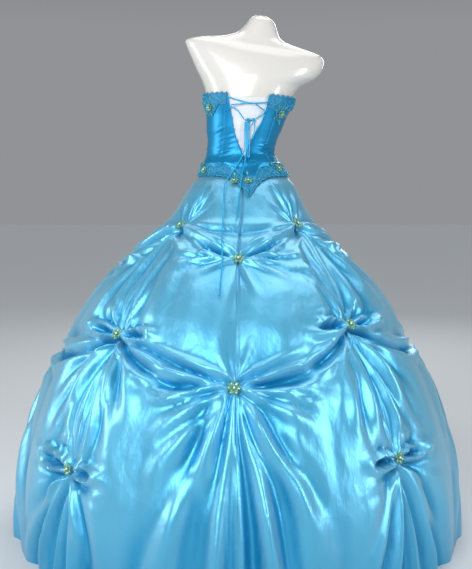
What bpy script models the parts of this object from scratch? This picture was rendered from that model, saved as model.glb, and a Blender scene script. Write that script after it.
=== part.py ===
"""A strapless ball gown with a laced corset bodice and a gathered pick-up skirt, on a limbless dress form.

Metres, +Z up. The origin is on the floor under the stand's pole. The gown's back, with its lacing, faces -Y,
the wearer's right is +X. Every panel is a closed wall of cloth, cut along its seams.
"""

import math

import bmesh
import bpy
import numpy as np
from mathutils import Matrix, Vector
from mathutils.bvhtree import BVHTree

# Driving dimensions of the gown
CLOTH = 0.0022
SEAM_GAP = 0.0007
CLEARANCE = 0.0004
SKIRT_TOP = 1.098
BODICE_EASE = 0.0046
COLUMN_STEP = 45.0
HALF_COLUMN = COLUMN_STEP / 2
BACK_TURN = 6.0

# Driving dimensions of the stand
FORM_BOTTOM = 0.930
POLE_RADIUS = 0.0150
BASE_RADIUS = 0.170
BASE_HEIGHT = 0.010

# The middle of the figure at each height: it leans to the wearer's right above the hips
CENTRE_LINE = (
    # height, x
    (0.000, 0.0000),
    (0.800, 0.0000),
    (0.890, 0.0040),
    (0.962, 0.0120),
    (1.040, 0.0160),
    (1.070, 0.0175),
    (1.100, 0.0125),
    (1.144, 0.0090),
    (1.175, 0.0135),
    (1.210, 0.0195),
    (1.247, 0.0270),
    (1.284, 0.0330),
    (1.314, 0.0370),
    (1.337, 0.0425),
)

# The form's level sections up to the arms
FIGURE = (
    # height, half width, half depth at the back, half depth at the front
    (0.930, 0.1440, 0.108, 0.102),
    (1.000, 0.1480, 0.114, 0.104),
    (1.070, 0.1280, 0.101, 0.094),
    (1.100, 0.1130, 0.089, 0.086),
    (1.144, 0.0965, 0.076, 0.078),
    (1.175, 0.0985, 0.077, 0.081),
    (1.210, 0.1075, 0.081, 0.088),
    (1.247, 0.1150, 0.086, 0.094),
    (1.284, 0.1300, 0.092, 0.099),
    (1.314, 0.1335, 0.094, 0.100),
    (1.337, 0.1430, 0.093, 0.098),
)

FORM_LEVELS = (
    0.930, 0.965, 1.000, 1.035, 1.058, 1.078, 1.096, 1.112, 1.128, 1.144,
    1.160, 1.178, 1.198, 1.222, 1.247, 1.265, 1.284, 1.314, 1.337,
)

# The form's shoulders and neck, whose sections tip towards the lower shoulder
SHOULDERS = (
    # height, half width, half depth at the back, half depth at the front, centre x, centre y, tilt in degrees
    (1.355, 0.1590, 0.091, 0.093, 0.0485, 0.000, 2.5),
    (1.374, 0.1780, 0.088, 0.087, 0.0540, 0.001, 4.5),
    (1.399, 0.1950, 0.083, 0.079, 0.0560, 0.003, 6.5),
    (1.425, 0.2070, 0.075, 0.069, 0.0530, 0.006, 8.0),
    (1.444, 0.2120, 0.064, 0.058, 0.0510, 0.008, 8.3),
    (1.456, 0.2000, 0.056, 0.051, 0.0550, 0.010, 8.3),
    (1.464, 0.1660, 0.053, 0.049, 0.0610, 0.011, 8.3),
    (1.471, 0.1240, 0.052, 0.049, 0.0620, 0.012, 8.3),
    (1.480, 0.0900, 0.051, 0.049, 0.0600, 0.014, 8.3),
    (1.494, 0.0640, 0.050, 0.049, 0.0640, 0.017, 8.3),
    (1.517, 0.0480, 0.047, 0.047, 0.0710, 0.020, 8.3),
    (1.537, 0.0370, 0.038, 0.038, 0.0735, 0.021, 8.3),
    (1.548, 0.0210, 0.022, 0.022, 0.0725, 0.021, 8.3),
)
FORM_CROWN = (0.0720, 0.021, 1.552)

# The skirt's mean shape, before its billows and folds
SKIRT = (
    # height, half width, half depth at the back, half depth at the front
    (1.098, 0.1175, 0.0935, 0.0905),
    (1.070, 0.1335, 0.1070, 0.1000),
    (1.040, 0.1600, 0.1400, 0.1320),
    (1.000, 0.1830, 0.1720, 0.1650),
    (0.962, 0.2030, 0.1980, 0.1920),
    (0.925, 0.2300, 0.2260, 0.2220),
    (0.889, 0.2740, 0.2680, 0.2650),
    (0.817, 0.3420, 0.3380, 0.3360),
    (0.746, 0.4060, 0.4030, 0.4030),
    (0.675, 0.4580, 0.4570, 0.4570),
    (0.605, 0.5020, 0.5020, 0.5020),
    (0.537, 0.5490, 0.5490, 0.5490),
    (0.467, 0.5800, 0.5800, 0.5800),
    (0.327, 0.6230, 0.6230, 0.6230),
    (0.187, 0.6560, 0.6560, 0.6560),
    (0.000, 0.6760, 0.6760, 0.6760),
)

# Where the skirt is picked up and tacked: three rows on the columns at odd steps, two on the even ones
PICK_UPS = (
    # column, azimuths of the rows from the top, heights of the rows from the top
    (0, (0.0, -1.0, 0.0), (0.842, 0.540, 0.190)),
    (45, (47.0, 39.0, 41.5), (0.930, 0.664, 0.336)),
    (90, (90.0, 90.0, 90.0), (0.862, 0.566, 0.200)),
    (135, (135.0, 136.0, 134.0), (0.926, 0.654, 0.322)),
    (180, (180.0, 181.0, 180.0), (0.846, 0.546, 0.195)),
    (225, (225.0, 223.5, 226.0), (0.922, 0.648, 0.316)),
    (270, (270.0, 270.0, 270.0), (0.812, 0.542, 0.180)),
    (315, (313.0, 318.5, 316.0), (0.922, 0.640, 0.302)),
)

# Rows of the skirt's net of folds. A row lies some steps from a line of pick-ups, or a share of the way
# between the two rows that bound it. Its swell is how far the swag there stands out or tucks in.
NET_ROWS = (
    # line, steps below the line or the height, swell
    ("height", 1.098, 0.0),
    ("height", 1.078, 0.0),
    ("height", 1.055, 0.0),
    ("height", 1.025, 0.0),
    (None, 0, 0.0),
    (0, -2, -0.35),
    (0, -1, 1.00),
    (0, 0, -1.00),
    (0, 1, 0.75),
    (0, 2, -0.45),
    (None, 0, 0.0),
    (None, 0, 0.0),
    (1, -2, -0.75),
    (1, -1, 1.10),
    (1, 0, -1.10),
    (1, 1, 0.95),
    (1, 2, -0.70),
    (None, 0, 0.0),
    (None, 0, 0.0),
    (2, -1, 1.00),
    (2, 0, -1.00),
    (2, 1, 0.60),
    (None, 0, 0.0),
    (None, 0, 0.0),
    ("height", 0.0, 0.0),
)
LINE_ROWS = (7, 14, 20)
HEM_ROW = len(NET_ROWS) - 1
SWAG_SPACING = (0.0085, 0.0330)
SWAG_DEPTH = 0.46
SWAG_SAG = 0.016
# How far the swags reach from a pick-up, in half columns, on odd and even columns, row by row
SWAG_REACH = ((0.80, 0.62, 0.72), (0.95, 1.00, 0.60))

# Fan folds run down the columns. Each knot is a share of the half column, and stands out or tucks in.
FAN_KNOTS = (0.00, 0.13, 0.27, 0.44, 0.68, 1.00)
FAN_SWELLS = (0.50, -1.00, 1.00, -0.90, 0.70, -0.30)
FAN_GATHER = 1.75
FAN_DEPTH = 0.34
FAN_LIMIT = 0.017
# How strong the fan folds are at each net row, on even and on odd columns
FAN_EVEN = (0, 0, 0, 0, 0, 0, 0.1, 0.1, 0.1, 0.15, 0.15, 0.2, 0.3, 0.4, 0.4, 0.9, 1.1, 1.2, 1.2, 1.15, 1.1, 1.1, 1.0, 1.0, 1.0)
FAN_ODD = (0, 0, 0, 0, 0.1, 0.3, 0.4, 0.5, 0.8, 0.9, 0.9, 0.9, 0.8, 0.6, 0.6, 1.0, 1.1, 1.1, 1.0, 0.7, 0.5, 1.0, 1.2, 1.2, 1.1)

PINCH_DEPTH = 0.034
PINCH_WIDTH = 0.20
BILLOW = 0.022

# The bodice
OPENING = (
    # height, x of the left edge, x of the right edge
    (1.3200, -0.0300, 0.0930),
    (1.3000, -0.0276, 0.0905),
    (1.2470, -0.0170, 0.0780),
    (1.2050, -0.0100, 0.0560),
    (1.1780, -0.0030, 0.0410),
    (1.1470, 0.0100, 0.0270),
    (1.1250, 0.0190, 0.0196),
)
BASQUE_HEM = 1.074
BASQUE_POINT = 0.066
BASQUE_POINT_WIDTH = 13.0
NECKLINE = 1.304
NECK_TILT = 0.052
CUP_RISE = 0.034
CUP_DEPTH = 0.020
CUP_HEIGHT = 1.262
WAIST = 1.144

# The trim and its flowers
TRIM_THICKNESS = 0.0012
TRIM_DEPTH = 0.026
SCALLOP = 0.0045
SCALLOPS = 22
ROSETTE_RADIUS = 0.017
ROSETTE_HEIGHT = 0.007
PETALS = 5

# The lacing
LACE_RADIUS = 0.0018
KNOT = (0.0358, -0.0908, 1.2310)
KNOT_HALF = (0.0165, 0.0038, 0.0048)
LACES = (
    # name, route
    (
        "lace_upper",
        (
            (-0.0290, -0.0908, 1.2985),
            (-0.0135, -0.0928, 1.2931),
            (0.0020, -0.0948, 1.2880),
            (0.0177, -0.0961, 1.2833),
            (0.0331, -0.0963, 1.2800),
            (0.0477, -0.0961, 1.2793),
            (0.0620, -0.0959, 1.2800),
            (0.0763, -0.0956, 1.2811),
            (0.0905, -0.0954, 1.2825),
        ),
    ),
    (
        "lace_left",
        (
            (-0.0200, -0.0892, 1.2700),
            (-0.0118, -0.0898, 1.2664),
            (-0.0040, -0.0904, 1.2620),
            (0.0027, -0.0907, 1.2553),
            (0.0085, -0.0902, 1.2480),
            (0.0134, -0.0897, 1.2412),
            (0.0180, -0.0891, 1.2345),
        ),
    ),
    (
        "lace_right",
        (
            (0.0850, -0.0882, 1.2600),
            (0.0776, -0.0878, 1.2528),
            (0.0700, -0.0874, 1.2460),
            (0.0621, -0.0870, 1.2403),
            (0.0540, -0.0866, 1.2350),
        ),
    ),
    (
        "lace_bow",
        (
            (0.0292, -0.0885, 1.2258),
            (0.0293, -0.0888, 1.2131),
            (0.0294, -0.0893, 1.2000),
            (0.0293, -0.0900, 1.1831),
            (0.0292, -0.0910, 1.1650),
            (0.0293, -0.0922, 1.1458),
            (0.0297, -0.0937, 1.1300),
            (0.0308, -0.0948, 1.1236),
            (0.0322, -0.0938, 1.1225),
            (0.0336, -0.0927, 1.1236),
            (0.0347, -0.0916, 1.1300),
            (0.0347, -0.0906, 1.1458),
            (0.0344, -0.0898, 1.1650),
            (0.0345, -0.0892, 1.1831),
            (0.0346, -0.0887, 1.2000),
            (0.0345, -0.0885, 1.2131),
            (0.0344, -0.0883, 1.2258),
        ),
    ),
    (
        "lace_tail_long",
        (
            (0.0213, -0.0885, 1.2258),
            (0.0207, -0.0890, 1.2131),
            (0.0203, -0.0896, 1.2000),
            (0.0208, -0.0905, 1.1836),
            (0.0208, -0.0916, 1.1660),
            (0.0194, -0.0930, 1.1489),
            (0.0158, -0.0972, 1.1320),
            (0.0077, -0.1044, 1.1161),
            (-0.0020, -0.1118, 1.1000),
            (-0.0148, -0.1193, 1.0818),
            (-0.0270, -0.1270, 1.0640),
            (-0.0342, -0.1382, 1.0494),
            (-0.0385, -0.1507, 1.0350),
            (-0.0403, -0.1637, 1.0176),
            (-0.0405, -0.1773, 1.0000),
            (-0.0399, -0.1916, 0.9853),
            (-0.0395, -0.2099, 0.9700),
            (-0.0409, -0.2268, 0.9507),
            (-0.0425, -0.2463, 0.9300),
            (-0.0434, -0.2669, 0.9094),
            (-0.0437, -0.2909, 0.8890),
            (-0.0432, -0.3002, 0.8687),
            (-0.0425, -0.3155, 0.8500),
            (-0.0422, -0.3405, 0.8359),
            (-0.0424, -0.3562, 0.8220),
            (-0.0440, -0.3720, 0.8038),
            (-0.0460, -0.3879, 0.7850),
            (-0.0475, -0.4039, 0.7687),
            (-0.0490, -0.4194, 0.7530),
        ),
    ),
    (
        "lace_tail_short",
        (
            (0.0252, -0.0885, 1.2250),
            (0.0250, -0.0890, 1.2131),
            (0.0248, -0.0897, 1.2000),
            (0.0249, -0.0905, 1.1837),
            (0.0250, -0.0916, 1.1660),
            (0.0248, -0.0928, 1.1479),
            (0.0240, -0.0995, 1.1300),
            (0.0219, -0.1066, 1.1134),
            (0.0190, -0.1140, 1.0980),
            (0.0153, -0.1220, 1.0844),
            (0.0120, -0.1305, 1.0720),
            (0.0105, -0.1395, 1.0610),
            (0.0095, -0.1489, 1.0500),
            (0.0079, -0.1577, 1.0381),
            (0.0060, -0.1685, 1.0240),
            (0.0035, -0.1800, 1.0054),
            (0.0010, -0.1915, 0.9850),
            (-0.0007, -0.2032, 0.9651),
            (-0.0022, -0.2150, 0.9450),
        ),
    ),
)

COLOURS = {
    "taffeta": ((0.07, 0.42, 0.72), 0.32, 0.0),
    "lace": ((0.05, 0.36, 0.60), 0.45, 0.0),
    "flower": ((0.34, 0.48, 0.26), 0.30, 0.0),
    "lining": ((0.78, 0.78, 0.80), 0.60, 0.0),
    "form": ((0.86, 0.86, 0.85), 0.30, 0.0),
    "steel": ((0.55, 0.56, 0.58), 0.30, 1.0),
}


def clear_scene():
    for old in list(bpy.data.objects):
        bpy.data.objects.remove(old)


def material(name):
    made = bpy.data.materials.get(name)
    if made:
        return made
    colour, roughness, metallic = COLOURS[name]
    made = bpy.data.materials.new(name)
    made.use_nodes = True
    shader = made.node_tree.nodes["Principled BSDF"]
    shader.inputs["Base Color"].default_value = (*colour, 1)
    shader.inputs["Roughness"].default_value = roughness
    shader.inputs["Metallic"].default_value = metallic
    return made


def add_object(name, mesh, slot):
    made = bpy.data.objects.new(name, mesh)
    bpy.context.scene.collection.objects.link(made)
    made.data.materials.append(material(slot))
    return made


def soft_curve(knots, values, at):
    """A smooth curve through the values that never overshoots them. Knots rise; values may hold many curves, one a row."""
    knots = np.asarray(knots, float)
    values = np.asarray(values, float)
    steps = np.diff(knots)
    slopes = np.diff(values, axis=-1) / steps
    before, after = slopes[..., :-1], slopes[..., 1:]
    product = before * after
    total = np.where(np.abs(before + after) < 1e-12, 1.0, before + after)
    inner = np.where(product > 0, 2 * product / total, 0.0)
    tangents = np.concatenate([slopes[..., :1], inner, slopes[..., -1:]], axis=-1)
    at = np.clip(np.asarray(at, float), knots[0], knots[-1])
    index = np.clip(np.searchsorted(knots, at, side="right") - 1, 0, len(steps) - 1)
    width = steps[index]
    share = (at - knots[index]) / width
    rise = share * share * (3 - 2 * share)
    leave = share * (1 - share) ** 2 * width
    arrive = -share * share * (1 - share) * width
    return (
        values[..., index] * (1 - rise)
        + values[..., index + 1] * rise
        + tangents[..., index] * leave
        + tangents[..., index + 1] * arrive
    )


def from_table(rows, column, height):
    ordered = sorted(rows)
    return soft_curve([r[0] for r in ordered], [r[column] for r in ordered], height)


def centre_x(height):
    return from_table(CENTRE_LINE, 1, height)


def oval(azimuth, half_width, half_back, half_front):
    """The distance from the middle to an oval's edge. Azimuth 0 is the back, -Y, and 90 is +X."""
    turn = np.radians(azimuth)
    depth = np.where(np.cos(turn) > 0, half_back, half_front)
    return 1 / np.sqrt((np.sin(turn) / half_width) ** 2 + (np.cos(turn) / depth) ** 2)


def section_radius(table, azimuth, height):
    return oval(azimuth, *(from_table(table, column, height) for column in (1, 2, 3)))


def cup_swell(azimuth, height):
    """How far the two cups stand out at the front of the figure."""
    side = (np.abs(np.mod(azimuth, 360) - 180) - 32) / 19
    up = (height - CUP_HEIGHT) / np.where(height > CUP_HEIGHT, 0.050, 0.040)
    return CUP_DEPTH * np.exp(-(side**2) - up**2)


def figure_radius(azimuth, height):
    return section_radius(FIGURE, azimuth, height) + cup_swell(azimuth, height)


def polar_point(azimuth, radius, height):
    turn = np.radians(azimuth)
    return np.stack(
        [centre_x(height) + radius * np.sin(turn), -radius * np.cos(turn), height + 0 * turn], axis=-1
    )


# The mean skirt is measured along its meridian, from the top down
MERIDIAN_HEIGHTS = np.linspace(SKIRT_TOP, 0.0, 400)
MERIDIAN_RADII = from_table(SKIRT, 1, MERIDIAN_HEIGHTS)
MERIDIAN_LENGTHS = np.concatenate(
    [[0.0], np.cumsum(np.hypot(np.diff(MERIDIAN_HEIGHTS), np.diff(MERIDIAN_RADII)))]
)


def length_at(height):
    return np.interp(-np.asarray(height, float), -MERIDIAN_HEIGHTS, MERIDIAN_LENGTHS)


def height_at(length):
    return np.interp(length, MERIDIAN_LENGTHS, MERIDIAN_HEIGHTS)


def nearest_column(turn):
    """The column that a place round the skirt belongs to, and its share of the half column, -1 to 1."""
    step = np.rint(np.asarray(turn, float) / COLUMN_STEP)
    return step.astype(int) % len(PICK_UPS), (turn - step * COLUMN_STEP) / HALF_COLUMN


def odd_share(turn):
    """1 on the odd columns, whose folds reach a third pick-up, and 0 on the even ones."""
    return np.sin(np.radians(np.asarray(turn, float)) * 2) ** 2


def net_rows_at(turn):
    """How far down the meridian each net row lies, for each place round the skirt."""
    turn = np.asarray(turn, float)
    step = np.floor(turn / COLUMN_STEP).astype(int)
    share = turn / COLUMN_STEP - step
    lengths = np.array([length_at(heights) for _, _, heights in PICK_UPS])
    here, there = lengths[step % len(PICK_UPS)], lengths[(step + 1) % len(PICK_UPS)]
    sag = SWAG_SAG * np.sin(np.pi * share)
    lines = here + (there - here) * share[:, None] + sag[:, None]
    _, place = nearest_column(turn)
    openness = np.sin(np.pi / 2 * np.abs(place)) ** 0.8
    near, far = SWAG_SPACING
    spacing = near + (far - near) * openness
    wide = 0.045
    last_spacing = wide + (spacing - wide) * odd_share(turn)
    rows = np.full((len(turn), len(NET_ROWS)), np.nan)
    for index, (line, steps, _) in enumerate(NET_ROWS):
        if line == "height":
            rows[:, index] = length_at(steps)
        elif line is not None:
            rows[:, index] = lines[:, line] + steps * (last_spacing if line == 2 else spacing)
    known = [i for i, row in enumerate(NET_ROWS) if row[0] is not None]
    for before, after in zip(known, known[1:]):
        for index in range(before + 1, after):
            share_down = (index - before) / (after - before)
            rows[:, index] = rows[:, before] + (rows[:, after] - rows[:, before]) * share_down
    return rows


def gathering(column, row):
    """1 at a pick-up and 0 away from it, going down a column."""
    strength = 0
    for line, line_row in enumerate(LINE_ROWS):
        tacked = (column % 2 == 1) | (line < 2)
        strength = strength + tacked * np.exp(-(((row - line_row) / 2.2) ** 2))
    return np.minimum(strength, 1)


def skirt_azimuth(turn, row):
    """Columns of the net draw together at the pick-ups and pass through them."""
    column, place = nearest_column(turn)
    azimuths = np.array([a for _, a, _ in PICK_UPS])
    shifts = azimuths - np.array([c for c, _, _ in PICK_UPS])[:, None]
    knots = (0, *LINE_ROWS, HEM_ROW)
    table = np.concatenate([shifts[:, :1] * 0.5, shifts, shifts[:, -1:] * 0.5], axis=1)
    shift = np.array([soft_curve(knots, table[c], r) for c, r in zip(np.ravel(column), np.ravel(row))])
    shift = shift.reshape(np.shape(column))
    power = 1 + (FAN_GATHER - 1) * gathering(column, row)
    spread = np.sign(place) * np.abs(place) ** power
    return turn + HALF_COLUMN * (spread - place) + shift * (1 - place**2) ** 2


def fan_wave(turn, row, radius):
    """The fan folds that run down from the pick-ups."""
    column, place = nearest_column(turn)
    place = np.abs(place)
    wave = soft_curve(FAN_KNOTS, FAN_SWELLS, place)
    gaps = np.gradient(np.array(FAN_KNOTS))
    gap = np.interp(place, FAN_KNOTS, gaps)
    power = 1 + (FAN_GATHER - 1) * gathering(column, row)
    squeeze = np.maximum(place, 0.05) ** (power - 1)
    width = gap * squeeze * math.radians(HALF_COLUMN) * radius
    rows = np.arange(len(NET_ROWS))
    strength = np.where(column % 2 == 1, soft_curve(rows, FAN_ODD, row), soft_curve(rows, FAN_EVEN, row))
    middle = soft_curve(rows, (np.array(FAN_ODD) + FAN_EVEN) / 2, row)
    strength = strength + (middle - strength) * place**2
    return wave * strength * np.minimum(width * FAN_DEPTH, FAN_LIMIT) * (1 - 0.35 * place)


def swag_wave(turn, row):
    """The swags that gather into each pick-up from its sides, and die away between the columns."""
    column, place = nearest_column(turn)
    place = np.abs(place)
    near, far = SWAG_SPACING
    spacing = near + (far - near) * np.sin(np.pi / 2 * place) ** 0.8
    swells = np.array([swell for _, _, swell in NET_ROWS])
    wave = soft_curve(np.arange(len(NET_ROWS)), swells, row)
    halfway = (LINE_ROWS[0] + LINE_ROWS[1]) / 2, (LINE_ROWS[1] + LINE_ROWS[2]) / 2
    line = (np.asarray(row) > halfway[0]).astype(int) + (np.asarray(row) > halfway[1])
    odd, even = np.array(SWAG_REACH[0])[line], np.array(SWAG_REACH[1])[line]
    reach = np.where(column % 2 == 1, odd, even)
    fade = np.clip(1 - (place / reach) ** 2, 0, 1)
    strength = np.where(line == 2, odd_share(turn), 1.0)
    return wave * strength * SWAG_DEPTH * spacing * fade


def billow(turn, row):
    """The slack cloth that swells between one line of pick-ups and the next."""
    _, place = nearest_column(turn)
    slack = 1 - 0.55 * (1 - np.abs(place)) ** 2
    swell = 0
    for start, end, size in ((3, 7, 0.35), (7, 14, 1.0), (14, 20, 0.9), (20, 24, 0.35)):
        share = np.clip((row - start) / (end - start), 0, 1)
        swell = swell + size * np.sin(np.pi * share**1.3)
    return BILLOW * swell * slack


def pinch(turn, row):
    """How far the tacks pull the cloth in at the pick-ups."""
    column, place = nearest_column(turn)
    depth = 0
    for line, line_row in enumerate(LINE_ROWS):
        tacked = (column % 2 == 1) | (line < 2)
        depth = depth + tacked * np.exp(-np.abs(row - line_row) / 1.5)
    return PINCH_DEPTH * depth * np.exp(-np.abs(place) / PINCH_WIDTH)


def mean_skirt(azimuth, length):
    height = height_at(length)
    return polar_point(azimuth, section_radius(SKIRT, azimuth, height), height)


def mean_normal(azimuth, length):
    step = 0.004
    down = mean_skirt(azimuth, length + step) - mean_skirt(azimuth, length - step)
    round_it = mean_skirt(azimuth + 0.5, length) - mean_skirt(azimuth - 0.5, length)
    normal = np.cross(down, round_it)
    return normal / np.linalg.norm(normal, axis=-1, keepdims=True)


def skirt_grid(turns, rows):
    """The outer face of the skirt and its outward direction, for each row and each place round it."""
    turns = np.asarray(turns, float)
    lengths = soft_curve(np.arange(len(NET_ROWS)), net_rows_at(turns), rows).T
    turn, row = np.meshgrid(turns, rows)
    azimuth = skirt_azimuth(turn, row)
    height = height_at(lengths)
    radius = section_radius(SKIRT, azimuth, height)
    out = billow(turn, row) + swag_wave(turn, row) + fan_wave(turn, row, radius) - pinch(turn, row)
    out = out * np.clip((1.02 - height) / 0.06, 0, 1)
    normal = mean_normal(azimuth, np.clip(lengths, 0.005, MERIDIAN_LENGTHS[-1] - 0.005))
    at_hem = row >= HEM_ROW
    normal[at_hem, 2] = 0
    points = mean_skirt(azimuth, lengths) + normal * out[..., None]
    points[at_hem, 2] = 0.0
    return points, normal


def wall(name, outer, inner, slot):
    """A closed wall of cloth between two grids of points, which have the same rows and columns."""
    rows, columns = outer.shape[:2]
    points = np.concatenate([outer.reshape(-1, 3), inner.reshape(-1, 3)])
    inside = rows * columns

    def at(row, column, layer):
        return layer * inside + row * columns + column

    faces = []
    for row in range(rows - 1):
        for column in range(columns - 1):
            corners = ((row, column), (row + 1, column), (row + 1, column + 1), (row, column + 1))
            faces.append([at(r, c, 0) for r, c in corners])
            faces.append([at(r, c, 1) for r, c in reversed(corners)])
    for row in range(rows - 1):
        for column in (0, columns - 1):
            faces.append([at(row, column, 0), at(row + 1, column, 0), at(row + 1, column, 1), at(row, column, 1)])
    for column in range(columns - 1):
        for row in (0, rows - 1):
            faces.append([at(row, column, 0), at(row, column + 1, 0), at(row, column + 1, 1), at(row, column, 1)])
    mesh = bpy.data.meshes.new(name)
    mesh.from_pydata(points.tolist(), [], faces)
    face_out(mesh)
    return add_object(name, mesh, slot)


def face_out(mesh):
    work = bmesh.new()
    work.from_mesh(mesh)
    bmesh.ops.triangulate(work, faces=work.faces)
    bmesh.ops.recalc_face_normals(work, faces=work.faces)
    work.to_mesh(mesh)
    work.free()
    mesh.shade_smooth()
    mesh.set_sharp_from_angle(angle=math.radians(60))


def part_at_seams(*grids):
    """Draws a panel's two side edges in by half a seam gap."""
    for column, neighbour in ((0, 1), (-1, -2)):
        inward = grids[0][:, neighbour] - grids[0][:, column]
        inward[:, 2] = 0
        inward /= np.maximum(np.linalg.norm(inward, axis=-1, keepdims=True), 1e-9)
        for grid in grids:
            grid[:, column] += inward * SEAM_GAP / 2


def column_turns():
    """Places round the skirt, one for each fan knot of each column."""
    shares = sorted({*FAN_KNOTS, *(-k for k in FAN_KNOTS)})
    turns = set()
    for column in range(len(PICK_UPS) + 1):
        turns |= {round(column * COLUMN_STEP + share * HALF_COLUMN, 4) for share in shares}
    return [t for t in sorted(turns) if 0 <= t <= 360]


def true_normals(points, outward, turns):
    """The outward direction of a closed round of cloth, at each point of its grid. It is level across at a seam."""
    before = np.concatenate([points[:, -2:-1], points[:, :-1]], axis=1)
    after = np.concatenate([points[:, 1:], points[:, 1:2]], axis=1)
    down = np.gradient(points, axis=0)
    normal = np.cross(down, after - before)
    normal /= np.linalg.norm(normal, axis=-1, keepdims=True)
    _, place = nearest_column(turns)
    share = 0.7 * np.clip((np.abs(place) - 0.10) / 0.30, 0, 1)[:, None]
    normal = normal * share + outward * (1 - share)
    return normal / np.linalg.norm(normal, axis=-1, keepdims=True)


GORES = (
    "skirt_back_right",
    "skirt_side_back_right",
    "skirt_side_front_right",
    "skirt_front_right",
    "skirt_front_left",
    "skirt_side_front_left",
    "skirt_side_back_left",
    "skirt_back_left",
)


def build_skirt():
    """The skirt's gores, one between each column of pick-ups and the next."""
    turns = np.array(column_turns())
    whole, outward = skirt_grid(turns, np.arange(len(NET_ROWS), dtype=float))
    normal = true_normals(whole, outward, turns)
    normal[-1, :, 2] = 0
    normal[-1] /= np.linalg.norm(normal[-1], axis=-1, keepdims=True)
    panels = []
    for index, name in enumerate(GORES):
        own = (turns >= index * COLUMN_STEP) & (turns <= (index + 1) * COLUMN_STEP)
        outer = whole[:, own].copy()
        inner = outer - normal[:, own] * CLOTH
        part_at_seams(outer, inner)
        panels.append(wall(name, outer, inner, "taffeta"))
    return panels


def basque_radius(azimuth, height):
    """The inner face of the bodice: it eases over the figure, and below the waist it lies over the skirt."""
    over_figure = figure_radius(azimuth, height) + BODICE_EASE
    over_skirt = section_radius(SKIRT, azimuth, np.minimum(height, SKIRT_TOP)) + 0.0050
    hip = np.clip((WAIST - height) / (WAIST - SKIRT_TOP), 0, 1)
    hip = hip * hip * (3 - 2 * hip)
    return np.maximum(over_figure + 0.0040 * hip, np.where(height < SKIRT_TOP + 0.012, over_skirt, 0))


def basque_hem(azimuth):
    """The bodice's lower edge, with a point at the back and a softer one at the front."""
    back = np.abs(np.mod(azimuth - BACK_TURN + 180, 360) - 180)
    front = 180 - back
    return BASQUE_HEM - BASQUE_POINT * np.exp(-back / BASQUE_POINT_WIDTH) - 0.045 * np.exp(-((front / 20) ** 2))


def neckline(azimuth):
    """The bodice's top edge: it tips with the shoulders and rises over the cups at the front."""
    turn = np.mod(azimuth, 360)
    radius = figure_radius(turn, NECKLINE)
    cups = np.exp(-(((np.abs(turn - 180) - 30) / 26) ** 2))
    return NECKLINE - NECK_TILT * radius * np.sin(np.radians(turn)) + CUP_RISE * cups


def bodice_point(azimuth, height, out=0.0):
    azimuth, height = np.broadcast_arrays(np.asarray(azimuth, float), np.asarray(height, float))
    return polar_point(azimuth, basque_radius(azimuth, height) + out, height)


def azimuth_of_x(x, height, out=0.0):
    """The place on the back of the bodice that lies at this x."""
    azimuth = np.zeros(np.shape(height))
    for _ in range(12):
        radius = basque_radius(azimuth, height) + out
        azimuth = np.degrees(np.arcsin(np.clip((x - centre_x(height)) / radius, -0.95, 0.95)))
    return azimuth


def opening_edge(side, height):
    """The azimuth of the laced edge at each height, side -1 on the left and 1 on the right."""
    height = np.asarray(height, float)
    edge = from_table(OPENING, 1 if side < 0 else 2, height)
    return azimuth_of_x(edge, height)


PANEL_ROWS = 11
BODICE_SEAMS = (45.0, 100.0, 150.0)


def bodice_grid(start, end, columns, top=neckline, bottom=basque_hem):
    """Points between two edges, each a number or a function of the height."""
    shares = np.linspace(0, 1, PANEL_ROWS)
    across = np.linspace(0, 1, columns)
    azimuth = np.zeros((PANEL_ROWS, columns))
    height = np.zeros((PANEL_ROWS, columns))
    for _ in range(6):
        high, low = top(azimuth), bottom(azimuth)
        height = high + (low - high) * shares[:, None]
        left = start(height) if callable(start) else start + 0 * height
        right = end(height) if callable(end) else end + 0 * height
        azimuth = left + (right - left) * across[None, :]
    return azimuth, height


def bodice_panel(name, start, end, columns):
    azimuth, height = bodice_grid(start, end, columns)
    outer = bodice_point(azimuth, height, CLOTH)
    inner = bodice_point(azimuth, height)
    part_at_seams(outer, inner)
    return wall(name, outer, inner, "taffeta")


def build_bodice():
    centre_back, side, side_front = BODICE_SEAMS
    return [
        bodice_panel("bodice_back_right", lambda h: opening_edge(1, h), centre_back + BACK_TURN, 5),
        bodice_panel("bodice_back_left", -centre_back + BACK_TURN, lambda h: opening_edge(-1, h), 5),
        bodice_panel("bodice_side_right", centre_back + BACK_TURN, side + BACK_TURN, 5),
        bodice_panel("bodice_side_left", -side + BACK_TURN, -centre_back + BACK_TURN, 5),
        bodice_panel("bodice_side_front_right", side + BACK_TURN, side_front + BACK_TURN, 5),
        bodice_panel("bodice_side_front_left", -side_front + BACK_TURN, -side + BACK_TURN, 5),
        bodice_panel("bodice_centre_front", side_front + BACK_TURN, 360 - side_front + BACK_TURN, 6),
    ]


def surface_tree(objects):
    """All the faces of some objects, to find what something lies on."""
    points, faces = [], []
    for source in objects:
        start = len(points)
        points += [v.co.copy() for v in source.data.vertices]
        faces += [[start + i for i in p.vertices] for p in source.data.polygons]
    return BVHTree.FromPolygons(points, faces)


def radius_over(tree, azimuth, height, turn_step, height_step):
    """The distance from the middle to the outermost cloth near each place."""
    found = basque_radius(azimuth, height) + CLOTH
    for index in np.ndindex(found.shape):
        for a in (-1, -0.5, 0, 0.5, 1):
            for h in (-1, -0.5, 0, 0.5, 1):
                level = float(height[index] + h * height_step)
                turn = math.radians(azimuth[index] + a * turn_step)
                out = Vector((math.sin(turn), -math.cos(turn), 0))
                start = Vector((float(centre_x(level)), 0, level)) + out * 0.4
                hit = tree.ray_cast(start, -out, 0.4)[0]
                if hit is not None:
                    found[index] = max(found[index], 0.4 - (hit - start).length)
    return found


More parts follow.
